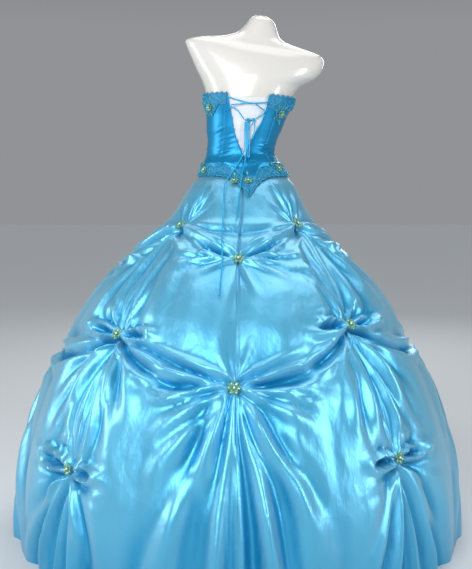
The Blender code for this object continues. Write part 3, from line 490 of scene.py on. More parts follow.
def net_rows_at(turn):
    """How far down the cloth each row of the net lies."""
    turn = np.asarray(turn, float)
    step = np.floor(turn / COLUMN_STEP).astype(int)
    share = turn / COLUMN_STEP - step
    lengths = np.array([length_at(heights) for _, _, heights in PICK_UPS])
    here, there = lengths[step % len(PICK_UPS)], lengths[(step + 1) % len(PICK_UPS)]
    sag = SWAG_SAG * np.sin(np.pi * share)
    lines = here + (there - here) * share[:, None] + sag[:, None]
    _, place = nearest_column(turn)
    near, far = SWAG_SPACING
    spacing = near + (far - near) * np.sin(np.pi / 2 * np.abs(place)) ** 0.8
    last_spacing = 0.045 + (spacing - 0.045) * odd_share(turn)
    rows = np.full((len(turn), len(NET_ROWS)), np.nan)
    for index, (line, steps, _) in enumerate(NET_ROWS):
        if line == "height":
            rows[:, index] = length_at(steps)
        elif line is not None:
            rows[:, index] = lines[:, line] + steps * (last_spacing if line == 2 else spacing)
    known = [i for i, row in enumerate(NET_ROWS) if row[0] is not None]
    for before, after in zip(known, known[1:]):
        for index in range(before + 1, after):
            down = (index - before) / (after - before)
            rows[:, index] = rows[:, before] + (rows[:, after] - rows[:, before]) * down
    return rows


def gathering(column, row):
    """How strongly the cloth is gathered at a tack, from 0 to 1."""
    strength = 0
    for line, line_row in enumerate(LINE_ROWS):
        tacked = (column % 2 == 1) | (line < 2)
        strength = strength + tacked * np.exp(-(((row - line_row) / 2.2) ** 2))
    return np.minimum(strength, 1)


def skirt_azimuth(turn, row):
    """Where a point of the cloth comes to once the tacks have drawn it to them."""
    column, place = nearest_column(turn)
    azimuths = np.array([a for _, a, _ in PICK_UPS])
    shifts = azimuths - np.array([c for c, _, _ in PICK_UPS])[:, None]
    knots = (0, *LINE_ROWS, HEM_ROW)
    table = np.concatenate([shifts[:, :1] * 0.5, shifts, shifts[:, -1:] * 0.5], axis=1)
    shift = np.zeros(np.shape(turn))
    for index in range(len(PICK_UPS)):
        shift = np.where(column == index, soft_curve(knots, table[index], row), shift)
    power = 1 + (FAN_GATHER - 1) * gathering(column, row)
    spread = np.sign(place) * np.abs(place) ** power
    return turn + HALF_COLUMN * (spread - place) + shift * (1 - place**2) ** 2


def fan_wave(turn, row, radius):
    """The folds that fan out from each tack."""
    column, place = nearest_column(turn)
    place = np.abs(place)
    wave = soft_curve(FAN_KNOTS, FAN_SWELLS, place)
    gap = np.interp(place, FAN_KNOTS, np.gradient(np.array(FAN_KNOTS)))
    power = 1 + (FAN_GATHER - 1) * gathering(column, row)
    width = gap * np.maximum(place, 0.05) ** (power - 1) * math.radians(HALF_COLUMN) * radius
    rows = np.arange(len(NET_ROWS))
    strength = np.where(column % 2 == 1, soft_curve(rows, FAN_ODD, row), soft_curve(rows, FAN_EVEN, row))
    middle = soft_curve(rows, (np.array(FAN_ODD) + FAN_EVEN) / 2, row)
    strength = strength + (middle - strength) * place**2
    uneven = 1 + 0.45 * np.sin(np.radians(turn) * 31 + 0.25 * row) * np.sin(np.radians(turn) * 13 + 1.1)
    return wave * uneven * strength * np.minimum(width * FAN_DEPTH, FAN_LIMIT) * (1 - 0.35 * place)


def swag_wave(turn, row):
    """The folds of the swags that hang from tack to tack."""
    column, place = nearest_column(turn)
    place = np.abs(place)
    near, far = SWAG_SPACING
    spacing = near + (far - near) * np.sin(np.pi / 2 * place) ** 0.8
    wave = soft_curve(np.arange(len(NET_ROWS)), np.array([swell for _, _, swell in NET_ROWS]), row)
    halfway = (LINE_ROWS[0] + LINE_ROWS[1]) / 2, (LINE_ROWS[1] + LINE_ROWS[2]) / 2
    line = (row > halfway[0]).astype(int) + (row > halfway[1])
    reach = np.where(column % 2 == 1, np.array(SWAG_REACH[0])[line], np.array(SWAG_REACH[1])[line])
    fade = np.clip(1 - (place / reach) ** 2, 0, 1)
    return wave * np.where(line == 2, odd_share(turn), 1.0) * SWAG_DEPTH * spacing * fade


def billow(turn, row):
    """The swell of the slack cloth between the lines of tacks."""
    _, place = nearest_column(turn)
    slack = 1 - 0.55 * (1 - np.abs(place)) ** 2
    held = odd_share(turn) * (1 - np.abs(place)) ** 1.5
    # first row, last row and size of each bay of slack cloth
    bays = (
        (3, 7, 0.35), (7, 14, 1.0), (14, 20, 0.9 * held), (20, 24, 0.35 * held), (14, 24, 0.8 * (1 - held)),
    )
    swell = 0
    for start, end, size in bays:
        swell = swell + size * np.sin(np.pi * np.clip((row - start) / (end - start), 0, 1) ** 1.3)
    return BILLOW * swell * slack


def pinch(turn, row):
    """The dimple at each tack."""
    column, place = nearest_column(turn)
    depth = 0
    for line, line_row in enumerate(LINE_ROWS):
        tacked = (column % 2 == 1) | (line < 2)
        depth = depth + tacked * np.exp(-np.abs(row - line_row) / 1.5)
    return PINCH_DEPTH * depth * np.exp(-np.abs(place) / PINCH_WIDTH)


def mean_skirt(azimuth, length):
    """A point of the skirt's mean shape, without folds."""
    height = height_at(length)
    return polar_point(azimuth, section_radius(SKIRT, azimuth, height), height)


def mean_normal(azimuth, length):
    """The direction out of the skirt's mean shape."""
    down = mean_skirt(azimuth, length + 0.004) - mean_skirt(azimuth, length - 0.004)
    round_it = mean_skirt(azimuth + 0.5, length) - mean_skirt(azimuth - 0.5, length)
    normal = np.cross(down, round_it)
    return normal / np.linalg.norm(normal, axis=-1, keepdims=True)


print("skirt from waist to hem, along the cloth:", round(float(MERIDIAN_LENGTHS[-1]), 3), "m")


# %% [markdown]
# The creases that the eye knows the gown by are laid one by one. Each is a soft ridge with a trough at either
# side, which starts narrow at a pick-up and widens as it runs out. The tables give its heading (0 is to the
# wearer's right, 90 is down the skirt), its length, how far it curls, its width and its height.
# The pick-ups on the sides that the photograph hides have the same kinds of creases, turned about.

# %% Creases laid one by one
# heading, length, curl, width at the far end, rise
LOW_UPPER = (
    (194, 0.2, -10, 0.011, 0.0085), (177, 0.19, -14, 0.011, 0.008), (160, 0.13, -12, 0.01, 0.005),
    (-11, 0.21, 12, 0.011, 0.009), (4, 0.21, 12, 0.011, 0.008), (22, 0.15, 12, 0.01, 0.0055),
    (70, 0.17, 4, 0.01, 0.003), (98, 0.2, 0, 0.01, 0.003),
)
LOW_MIDDLE = (
    (195, 0.27, -12, 0.015, 0.014), (177, 0.26, -12, 0.015, 0.013), (158, 0.21, -10, 0.014, 0.01),
    (-18, 0.28, 10, 0.015, 0.014), (1, 0.24, 8, 0.015, 0.013), (20, 0.2, 10, 0.014, 0.01),
    (59, 0.52, 8, 0.026, 0.013), (74, 0.86, 4, 0.026, 0.015), (87, 0.9, 0, 0.019, 0.012),
    (99, 0.88, -3, 0.025, 0.015), (114, 0.6, -6, 0.028, 0.014), (133, 0.3, -6, 0.018, 0.008),
    (248, 0.11, 0, 0.007, 0.003), (293, 0.12, 0, 0.007, 0.003),
)
HIGH_UPPER = (
    (172, 0.15, -8, 0.01, 0.005), (148, 0.2, -3, 0.008, 0.007), (4, 0.15, 8, 0.01, 0.0055),
    (30, 0.16, 8, 0.01, 0.006), (60, 0.3, 5, 0.014, 0.007), (74, 0.34, 1, 0.011, 0.0075),
    (86, 0.33, 0, 0.011, 0.007), (99, 0.29, -3, 0.013, 0.006), (226, 0.11, 0, 0.008, 0.005),
    (251, 0.14, 2, 0.008, 0.0065), (274, 0.13, 0, 0.0075, 0.006), (301, 0.12, -3, 0.008, 0.0055),
)
HIGH_MIDDLE = (
    (206, 0.135, -24, 0.011, 0.013), (157, 0.14, 22, 0.011, 0.012), (-46, 0.11, 6, 0.01, 0.008),
    (-23, 0.15, 24, 0.011, 0.014), (21, 0.15, -22, 0.011, 0.013), (38, 0.12, 8, 0.01, 0.007),
    (56, 0.3, 6, 0.019, 0.011), (70, 0.37, 2, 0.014, 0.0095), (82, 0.4, 1, 0.012, 0.009),
    (95, 0.37, 0, 0.016, 0.0095), (111, 0.3, -2, 0.018, 0.01), (128, 0.21, -6, 0.014, 0.007),
    (247, 0.2, 4, 0.01, 0.0055), (268, 0.25, 0, 0.009, 0.006), (288, 0.18, -4, 0.01, 0.005),
)
HIGH_LOWER = (
    (208, 0.14, -28, 0.012, 0.015), (155, 0.14, 26, 0.012, 0.014), (-60, 0.08, 20, 0.011, 0.011),
    (-26, 0.17, 27, 0.012, 0.016), (23, 0.17, -25, 0.012, 0.015), (36, 0.15, 16, 0.011, 0.009),
    (52, 0.33, 8, 0.023, 0.012), (70, 0.52, 4, 0.021, 0.013), (86, 0.56, 0, 0.019, 0.012),
    (102, 0.54, -3, 0.022, 0.013), (121, 0.32, -8, 0.019, 0.01), (258, 0.15, 2, 0.009, 0.005),
    (284, 0.13, -2, 0.009, 0.005),
)
# which columns have their creases mirrored, and how much longer or shorter they run
TURNED = (
    (False, 1.00), (False, 1.00), (True, 0.92), (False, 1.06), (True, 1.04), (True, 0.95), (False, 1.05),
    (True, 1.00),
)
# how much the creases and the taut edges are raised over their tables
CREASE_RISE, TIE_DEPTH = 1.2, 1.0
# how wide a crease is where it leaves its tack, and how far from the tack its full height begins
CREASE_START, CREASE_RUN_UP = 0.0034, 0.030
# how many degrees round from its tack a crease can still be felt
CREASE_SIGHT = 62
# column and line of one tack, column and line of the other, sag, width, rise
TIE_LINES = (
    (7, 0, 1, 0, 0.012, 0.019, 0.006), (7, 0, 0, 0, -0.004, 0.012, 0.01),
    (0, 0, 1, 0, -0.004, 0.012, 0.01), (7, 1, 0, 1, 0.03, 0.019, 0.016),
    (0, 1, 1, 1, 0.026, 0.019, 0.0165), (7, 1, 0, 1, -0.02, 0.012, 0.008),
    (1, 0, 2, 0, 0.004, 0.012, 0.009), (2, 0, 3, 0, 0.002, 0.013, 0.01),
    (3, 0, 4, 0, -0.002, 0.012, 0.0095), (4, 0, 5, 0, -0.002, 0.013, 0.0095),
    (5, 0, 6, 0, 0.004, 0.012, 0.01), (6, 0, 7, 0, 0.004, 0.012, 0.009), (1, 1, 2, 1, 0.03, 0.018, 0.015),
    (2, 1, 3, 1, 0.026, 0.0185, 0.015), (3, 1, 4, 1, 0.03, 0.019, 0.016),
    (4, 1, 5, 1, 0.028, 0.018, 0.0155), (5, 1, 6, 1, 0.026, 0.019, 0.015),
    (6, 1, 7, 1, 0.03, 0.018, 0.015),
)
# column, line, heading, distance, length, width, depth
POCKETS = (
    (1, 2, 0, 0.078, 0.046, 0.014, 0.016), (1, 2, 181, 0.064, 0.036, 0.012, 0.013),
    (1, 2, -44, 0.05, 0.028, 0.012, 0.014), (7, 2, 180, 0.074, 0.042, 0.014, 0.016),
    (7, 2, 2, 0.06, 0.034, 0.011, 0.012), (7, 2, 228, 0.052, 0.03, 0.013, 0.014),
    (1, 1, 181, 0.066, 0.038, 0.012, 0.014), (1, 1, -1, 0.072, 0.04, 0.012, 0.014),
    (1, 1, -36, 0.07, 0.034, 0.011, 0.01), (7, 1, 182, 0.072, 0.04, 0.013, 0.014),
    (7, 1, 0, 0.07, 0.038, 0.012, 0.013), (7, 1, 216, 0.068, 0.034, 0.012, 0.01),
    (0, 1, 189, 0.12, 0.07, 0.011, 0.012), (0, 1, 172, 0.13, 0.064, 0.012, 0.013),
    (0, 1, -12, 0.12, 0.064, 0.012, 0.012), (0, 1, 9, 0.135, 0.07, 0.013, 0.013),
    (0, 0, 187, 0.09, 0.046, 0.009, 0.008), (0, 0, -4, 0.095, 0.05, 0.01, 0.009),
    (0, 0, 14, 0.11, 0.052, 0.01, 0.008), (0, 0, 168, 0.1, 0.046, 0.009, 0.007),
    (2, 1, 188, 0.11, 0.06, 0.012, 0.009), (2, 1, -8, 0.12, 0.06, 0.012, 0.012),
    (3, 2, -50, 0.045, 0.03, 0.015, 0.015), (3, 2, 176, 0.07, 0.04, 0.017, 0.014),
    (4, 1, 192, 0.12, 0.062, 0.013, 0.013), (4, 1, -6, 0.11, 0.064, 0.012, 0.012),
    (5, 2, 232, 0.05, 0.03, 0.015, 0.015), (5, 2, 6, 0.07, 0.04, 0.016, 0.014),
    (6, 1, 185, 0.115, 0.06, 0.012, 0.012), (6, 1, -10, 0.12, 0.064, 0.012, 0.012),
    (3, 1, 10, 0.072, 0.036, 0.015, 0.012), (5, 1, 170, 0.072, 0.036, 0.015, 0.012),
)


def crease(azimuth, length, start, heading, reach, curl, width, rise):
    """One ridge with a trough at either side, on its way out from a tack."""
    start_azimuth, start_length = start
    radius = float(section_radius(SKIRT, np.array(start_azimuth), height_at(start_length)))
    local = section_radius(SKIRT, azimuth, height_at(length))
    across = np.radians(wrapped(azimuth, start_azimuth)) * (0.5 * radius + 0.5 * local)
    down = length - start_length
    far = np.hypot(across, down)
    share = far / reach
    aim = np.radians(heading + curl * np.clip(share, 0, 1.5))
    ahead = across * np.cos(aim) + down * np.sin(aim)
    aside = down * np.cos(aim) - across * np.sin(aim)
    spread = CREASE_START + (1.25 * width - CREASE_START) * np.clip(share, 0, 1.2) ** 0.65
    pull = aside / spread
    profile = np.exp(-(pull**2)) - 0.55 * np.exp(-((pull - 1.65) ** 2)) - 0.55 * np.exp(-((pull + 1.65) ** 2))
    shape = eased(far / CREASE_RUN_UP) * eased((1.12 - share) / 0.62) * (0.45 + 0.55 * np.clip(share * 2, 0, 1))
    return np.where(ahead > 0, profile * shape * CREASE_RISE * rise, 0.0)


def tie_line(azimuth, length, start, end, sag, width, rise):
    """A taut edge of cloth between two tacks: a crisp ridge with a deep trough under it."""
    across = wrapped(end[0], start[0])
    share = wrapped(azimuth, start[0]) / across
    inside = np.clip(share, 0, 1)
    path = start[1] + (end[1] - start[1]) * inside + sag * np.sin(np.pi * inside)
    below = (length - path) / (width * (0.45 + 0.55 * np.sin(np.pi * inside)))
    ridge, lip = np.exp(-((below + 0.55) ** 2) * 1.6), np.exp(-((below - 2.4) ** 2))
    profile = ridge - 1.15 * np.exp(-((below - 0.75) ** 2) * 1.4) + 0.45 * lip
    return np.where((share > 0) & (share < 1), TIE_DEPTH * rise * profile * np.sin(np.pi * inside) ** 0.5, 0.0)


def pocket(azimuth, length, start, heading, distance, long, wide, depth):
    """A hollow beside a tack with a full rim round it."""
    radius = float(section_radius(SKIRT, np.array(start[0]), height_at(start[1])))
    across, down = np.radians(wrapped(azimuth, start[0])) * radius, length - start[1]
    aim = math.radians(heading)
    ahead = (across * math.cos(aim) + down * math.sin(aim) - distance) / long
    aside = (down * math.cos(aim) - across * math.sin(aim)) / wide
    out = np.hypot(ahead, aside)
    return depth * (0.18 * np.exp(-(((out - 1.5) / 0.45) ** 2)) - np.exp(-((out / 0.95) ** 4)))


def tack(column, line):
    """The azimuth of a pick-up and how far down the cloth it is."""
    _, azimuths, heights = PICK_UPS[column]
    return azimuths[line], float(length_at(heights[line]))


def laid_creases(azimuth, length):
    """The creases, taut edges and hollows together, in metres out of the mean shape."""
    out = np.zeros(azimuth.shape)
    for column, (_, azimuths, heights) in enumerate(PICK_UPS):
        mirrored, stretch = TURNED[column]
        tables = (HIGH_UPPER, HIGH_MIDDLE, HIGH_LOWER) if column % 2 else (LOW_UPPER, LOW_MIDDLE)
        for table, start_azimuth, height in zip(tables, azimuths, heights):
            start = (start_azimuth, float(length_at(height)))
            near = np.abs(wrapped(azimuth, start_azimuth)) < CREASE_SIGHT
            for index, (heading, reach, curl, width, rise) in enumerate(table):
                # no two creases of real cloth match, so each differs a little from its table
                uneven = 1 + 0.16 * math.sin(2.3 * index + 1.7 * column + 5 * height)
                aim, bend = (180 - heading, -curl) if mirrored else (heading, curl)
                aim += 3.0 * math.sin(1.9 * index + 2.9 * column)
                sizes = reach * stretch * uneven, bend, width * uneven, rise / uneven
                out[near] += crease(azimuth[near], length[near], start, aim, *sizes)
    for column, line, other, other_line, *sizes in TIE_LINES:
        out += tie_line(azimuth, length, tack(column, line), tack(other, other_line), *sizes)
    for column, line, *sizes in POCKETS:
        out += pocket(azimuth, length, tack(column, line), *sizes)
    return out


# half width and depth of the stitched seam, ripple of its puckers, height where it goes under the folds
STITCH_WIDTH, STITCH_DEPTH, PUCKERS, STITCH_END = 0.0028, 0.0016, 260, 0.555


def back_seam(azimuth, length):
    """The stitched seam down the centre of the back, from the waist to the second tack, with its puckers."""
    radius = section_radius(SKIRT, azimuth, height_at(length))
    aside = np.radians(wrapped(azimuth, 0.0)) * radius / STITCH_WIDTH
    groove = 0.0007 * np.exp(-((np.abs(aside) - 2.0) ** 2)) - STITCH_DEPTH * np.exp(-(aside**2))
    puckers = 1 + 0.35 * np.sin(length * PUCKERS)
    return groove * puckers * np.clip((length_at(STITCH_END) - length) / 0.02, 0, 1)


def crumple(points):
    """Soft unevenness, from hand-sized dents down to thumb-sized ones."""
    flat = points.reshape(-1, 3)
    values = []
    for x, y, z in flat:
        dent = 0.0060 * noise.noise(Vector((x, y, 0.6 * z)) * 4.0)
        # the absolute value turns each zero of the noise into a crisp ridge
        crisp = 0.0050 * abs(noise.noise(Vector((x + 3, y, 0.45 * z)) * 6.5))
        fine_crisp = 0.0015 * abs(noise.noise(Vector((x, y + 5, 0.5 * z)) * 14.0))
        values.append(dent - (crisp + fine_crisp) + 0.0006 * noise.noise(Vector((x, y, 0.6 * z)) * 36.0))
    return np.array(values).reshape(points.shape[:-1])


# depth at which a fold gets its full painted shade, and height under which painted shade darkens towards the hem
FULL_FOLD, HEM_SHADE = 0.009, 0.26


def skirt_grid(turns, rows):
    """The skirt's outer points, the directions out of them, and a mask of painted shade for its folds and its hem."""
    turns = np.asarray(turns, float)
    lengths = soft_curve(np.arange(len(NET_ROWS)), net_rows_at(turns), rows).T
    turn, row = np.meshgrid(turns, rows)
    azimuth = skirt_azimuth(turn, row)
    height = height_at(lengths)
    radius = section_radius(SKIRT, azimuth, height)
    base = mean_skirt(azimuth, lengths)
    relief = swag_wave(turn, row) + fan_wave(turn, row, radius) + laid_creases(azimuth, lengths)
    out = billow(turn, row) - pinch(turn, row) + relief + crumple(base) + back_seam(azimuth, lengths)
    # painted shade: more of it the deeper a point lies in a fold, and more towards the hem
    fold = np.clip(-relief / FULL_FOLD, 0, 1) + 0.5 * np.clip((HEM_SHADE - height) / 0.22, 0, 1)
    under_basque = np.clip((height - basque_hem(azimuth) + 0.012) / 0.012, 0, 1)
    # nothing stands out under the basque, and the folds die away into the waist
    out = out + (np.minimum(out, 0.0) * 0.5 - out) * under_basque
    out = out * np.clip((1.066 - height) / 0.03, 0, 1)
    normal = mean_normal(azimuth, np.clip(lengths, 0.005, MERIDIAN_LENGTHS[-1] - 0.005))
    at_hem = row >= HEM_ROW
    normal[at_hem, 2] = 0
    points = base + normal * out[..., None]
    points[at_hem, 2] = 0.0
    return points, normal, np.clip(fold, 0, 1)


# %% [markdown]
# The maker cuts eight gores, each from one column of pick-ups to the next, so the seams run down through the
# tacks, where the folds hide most of them. Each gore is its own thin closed wall here, as in the solid.

# %% Cut the eight gores
GORES = (
    "skirt_back_right", "skirt_side_back_right", "skirt_side_front_right", "skirt_front_right",
    "skirt_front_left", "skirt_side_front_left", "skirt_side_back_left", "skirt_back_left",
)
ROWS_PER_GORE, COLUMNS_PER_GORE = 190, 92


def part_at_seams(*grids):
    """Draws both side edges of the grids in by half a seam's gap."""
    for column, neighbour in ((0, 1), (-1, -2)):
        inward = grids[0][:, neighbour] - grids[0][:, column]
        inward[:, 2] = 0
        inward /= np.maximum(np.linalg.norm(inward, axis=-1, keepdims=True), 1e-9)
        for grid in grids:
            grid[:, column] += inward * SEAM_GAP / 2


skirt_pieces, cuts = [], {}
for index, node in enumerate(GORES):
    start = index * COLUMN_STEP
    outer, normal, fold = skirt_grid(
        np.linspace(start, start + COLUMN_STEP, COLUMNS_PER_GORE), np.linspace(0, HEM_ROW, ROWS_PER_GORE)
    )
    inner = outer - normal * CLOTH
    part_at_seams(outer, inner)
    piece = cloth_wall(node.replace("skirt", "gore"), outer, inner, skirt_taffeta)
    # the painted shade mask, which the taffeta reads to darken the folds and the hem
    depth = piece.data.attributes.new("fold", "FLOAT", "POINT")
    depth.data.foreach_set("value", np.tile(fold.ravel(), 2).astype(np.float32))
    skirt_pieces.append(dress(piece, "taffeta", node))
    cuts[piece] = flat_cut(outer)
    print(piece.name, "was cut", *cuts[piece])
print("gores:", [triangles(p) for p in skirt_pieces], "triangles")


# %% [markdown]
# The form is a moulded shell: smooth, whole and glossy, without arms or head. It is lofted through level
# rings up to the arms and then through rings that tip towards its lower shoulder, on a finer ring than the
# solid's. The gown keeps clear of it all round.

# %% The form
# how far the cups stand out, and the height of their middle
CUP_DEPTH, CUP_HEIGHT = 0.020, 1.262


def figure_radius(azimuth, height):
    """The form's radius, cups and all."""
    side = (np.abs(np.mod(azimuth, 360) - 180) - 32) / 19
    up = (height - CUP_HEIGHT) / np.where(height > CUP_HEIGHT, 0.050, 0.040)
    return section_radius(FIGURE, azimuth, height) + CUP_DEPTH * np.exp(-(side**2) - up**2)


around = np.linspace(0, 360, 96, endpoint=False)
form_rings = []
for height in np.linspace(0.930, 1.337, 50):
    levels = np.full(len(around), height)
    form_rings.append(polar_point(around, figure_radius(around, levels), levels))
first_row = (1.337, 0.1430, 0.093, 0.098, 0.0425, 0.0, 0.0)
tipped = np.array((first_row, *SHOULDERS)).T
steps = np.linspace(0, len(SHOULDERS), len(SHOULDERS) * 5 + 1)[1:]
for height, width, back, front, x, y, tilt in soft_curve(np.arange(len(SHOULDERS) + 1), tipped, steps).T:
    radius = oval(around, width, back, front)
    across, depth = radius * np.sin(np.radians(around)), -radius * np.cos(np.radians(around))
    slope = math.radians(tilt)
    form_rings.append(
        np.stack([across * math.cos(slope) + x, depth + y, height - across * math.sin(slope)], axis=-1)
    )
form = dress(loft("form_shell", form_rings, gloss_shell, crown=FORM_CROWN), "form", "form_torso")
print("form:", triangles(form), "triangles")


# %% [markdown]
# The stand is a steel plate with a tube screwed into its middle. Both are primitives at their real sizes. The
# plate's upper edge is bevelled as a turned one is, and the lower one is left square because it meets the floor.

# %% The stand
BASE_RADIUS, BASE_HEIGHT, POLE_RADIUS, FORM_BOTTOM = 0.170, 0.010, 0.015, 0.930


def turned_steel(name, radius, low, high, sides, node):
    """A cylinder with its upper edge bevelled."""
    bpy.ops.mesh.primitive_cylinder_add(
        vertices=sides, radius=radius, depth=high - low, location=(0, 0, (high + low) / 2)
    )
    made = bpy.context.object
    made.name = name
    bpy.ops.object.transform_apply(location=True)
    bpy.ops.object.mode_set(mode="EDIT")
    work = bmesh.from_edit_mesh(made.data)
    for edge in work.edges:
        edge.select_set(all(v.co.z > high - 1e-5 for v in edge.verts))
    bmesh.update_edit_mesh(made.data)
    bpy.ops.mesh.bevel(offset=0.003, segments=3)
    bpy.ops.object.mode_set(mode="OBJECT")
    bpy.ops.object.shade_smooth_by_angle(angle=math.radians(40))
    made.data.materials.append(brushed_steel)
    return dress(made, "steel", node)


turned_steel("stand_plate", BASE_RADIUS, 0.0, BASE_HEIGHT, 96, "stand_base")
turned_steel("stand_tube", POLE_RADIUS, BASE_HEIGHT + 0.0004, FORM_BOTTOM - 0.0004, 32, "stand_pole")


# %% [markdown]
# The bodice is boned and fits the form closely, then flares over the skirt in a basque that comes to a point.
# Its panels share one surface, which eases over the figure above the waist and over the skirt below it. The
# taffeta pulls at the waist, so short tucks and slanting drag lines are laid there one by one.

# %% The bodice's surface
# thickness of the bodice's cloth, and how far its inner face stands off the form
BODICE_CLOTH, BODICE_EASE = 0.0020, 0.0046
# height of the neckline, its fall to one side, its rise over the cups, height of the waist
NECKLINE, NECK_TILT, CUP_RISE, WAIST = 1.304, 0.052, 0.034, 1.144
# azimuths of the seams, from the middle of the back to either side
BODICE_SEAMS = (45.0, 100.0, 150.0)
# height, x of the left edge, x of the right edge
OPENING = (
    (1.32, -0.03, 0.093), (1.3, -0.0276, 0.0905), (1.247, -0.017, 0.078), (1.205, -0.01, 0.056),
    (1.178, -0.003, 0.041), (1.147, 0.01, 0.027), (1.125, 0.019, 0.0196),
)
# azimuth, height, degrees across, tilt in metres, width, rise
TUCKS = (
    (52, 1.16, 30, 0.004, 0.0034, 0.0026), (50, 1.149, 34, 0.002, 0.0034, 0.003),
    (54, 1.138, 30, -0.002, 0.0032, 0.0028), (58, 1.127, 26, -0.004, 0.0032, 0.0022),
    (-32, 1.182, 26, 0.01, 0.004, 0.0016), (-30, 1.166, 28, 0.012, 0.0038, 0.0018),
    (-34, 1.15, 30, 0.01, 0.0036, 0.0018), (-28, 1.136, 24, 0.01, 0.0036, 0.0016),
    (-48, 1.205, 22, 0.016, 0.0045, 0.0012), (-80, 1.152, 34, 0.002, 0.0036, 0.0016),
    (-84, 1.138, 34, -0.002, 0.0036, 0.0018), (96, 1.15, 36, 0.002, 0.0036, 0.002),
    (100, 1.136, 34, -0.002, 0.0036, 0.0018), (140, 1.156, 30, 0.004, 0.0038, 0.0015),
    (150, 1.14, 32, 0.0, 0.0036, 0.0016), (210, 1.158, 34, -0.004, 0.0038, 0.0015),
    (216, 1.142, 30, 0.0, 0.0036, 0.0016), (180, 1.128, 40, 0.0, 0.0036, 0.0014),
    (30, 1.1, 20, 0.016, 0.0045, 0.0014), (-20, 1.098, 20, -0.014, 0.0045, 0.0014),
    (70, 1.2, 20, -0.014, 0.0045, 0.001),
)


def bodice_radius(azimuth, height):
    """The bodice's inner face, over the figure and, below the waist, over the skirt."""
    over_figure = figure_radius(azimuth, height) + BODICE_EASE
    over_skirt = section_radius(SKIRT, azimuth, np.minimum(height, SKIRT_TOP)) + 0.0050
    hip = eased((WAIST - height) / (WAIST - SKIRT_TOP))
    return np.maximum(over_figure + 0.0040 * hip, np.where(height < SKIRT_TOP + 0.012, over_skirt, 0))


def tucks(azimuth, height):
    """The small tucks and drag lines, in metres out of the cloth."""
    out = np.zeros(np.shape(azimuth))
    for middle, level, across, tilt, width, rise in TUCKS:
        turn = wrapped(azimuth, middle) / across
        apart = (height - level - tilt * turn) / width
        shape = np.exp(-(apart**2)) - 0.5 * np.exp(-((apart - 1.5) ** 2)) - 0.5 * np.exp(-((apart + 1.5) ** 2))
        out += rise * shape * np.exp(-((turn * 2.2) ** 2))
    return np.maximum(out, -0.0016)


def neckline(azimuth):
    """The height of the bodice's upper edge, which tilts to one side and rises over the cups."""
    turn = np.mod(azimuth, 360)
    cups = np.exp(-(((np.abs(turn - 180) - 30) / 26) ** 2))
    return NECKLINE - NECK_TILT * figure_radius(turn, NECKLINE) * np.sin(np.radians(turn)) + CUP_RISE * cups


def bodice_point(azimuth, height, out=0.0):
    azimuth, height = np.broadcast_arrays(np.asarray(azimuth, float), np.asarray(height, float))
    return polar_point(azimuth, bodice_radius(azimuth, height) + out, height)


def opening_edge(side, height):
    """The azimuth of one edge of the laced opening."""
    height = np.asarray(height, float)
    edge = from_table(OPENING, 1 if side < 0 else 2, height)
    azimuth = np.zeros(np.shape(height))
    for _ in range(12):
        radius = bodice_radius(azimuth, height)
        azimuth = np.degrees(np.arcsin(np.clip((edge - centre_x(height)) / radius, -0.95, 0.95)))
    return azimuth


# %% Cut the bodice's panels
# how deep the outer face sinks at a seam, and over what share of the panel's width
SEAM_SINK, SEAM_WIDTH = 0.0011, 0.035


def bodice_panel(name, start, end):
    """A panel between two seams. Each is an azimuth, or a function that gives one at a height."""
    shares, across = np.linspace(0, 1, 96)[:, None], np.linspace(0, 1, 44)[None, :]
    azimuth, height = shares + 0 * across, shares + 0 * across
    for _ in range(6):
        high, low = neckline(azimuth), basque_hem(azimuth)
        height = high + (low - high) * shares
        left = start(height) if callable(start) else start + 0 * height
        right = end(height) if callable(end) else end + 0 * height
        azimuth = left + (right - left) * across
    # the outer face sinks into the seams at both sides of the panel
    at_seams = np.exp(-((across / SEAM_WIDTH) ** 2)) + np.exp(-(((1 - across) / SEAM_WIDTH) ** 2))
    relief = tucks(azimuth, height) - SEAM_SINK * at_seams
    outer = bodice_point(azimuth, height, BODICE_CLOTH + relief)
    inner = bodice_point(azimuth, height, np.clip(relief, 0, None))
    part_at_seams(outer, inner)
    piece = dress(cloth_wall(name.replace("bodice", "panel"), outer, inner, bodice_taffeta), "taffeta", name)
    cuts[piece] = flat_cut(outer)
    print(piece.name, "was cut", *cuts[piece])
    return piece


side_back, side, side_front = (seam + BACK_TURN for seam in BODICE_SEAMS)
left_side_back, left_side, left_side_front = (BACK_TURN - seam for seam in BODICE_SEAMS)
bodice_pieces = [
    bodice_panel("bodice_back_right", lambda h: opening_edge(1, h), side_back),
    bodice_panel("bodice_back_left", left_side_back, lambda h: opening_edge(-1, h)),
    bodice_panel("bodice_side_right", side_back, side),
    bodice_panel("bodice_side_left", left_side, left_side_back),
    bodice_panel("bodice_side_front_right", side, side_front),
    bodice_panel("bodice_side_front_left", left_side_front, left_side),
    bodice_panel("bodice_centre_front", side_front, 360 + left_side_front),
]
print("bodice panels:", [triangles(p) for p in bodice_pieces], "triangles")


# %% [markdown]
# Behind the lacing is a plain panel of white satin. It isn't boned, so it lies on the form in a few long soft
# creases that run down from its upper corners.

# %% The panel behind the lacing
# azimuth at the top, azimuth at the bottom, width in degrees, rise
PANEL_CREASES = (
    (-20, 4, 2.6, 0.0007), (-6, 6, 2.2, 0.0006), (14, 8, 2.4, 0.0007), (26, 10, 2.8, 0.0007),
    (38, 10, 2.4, 0.0006),
)
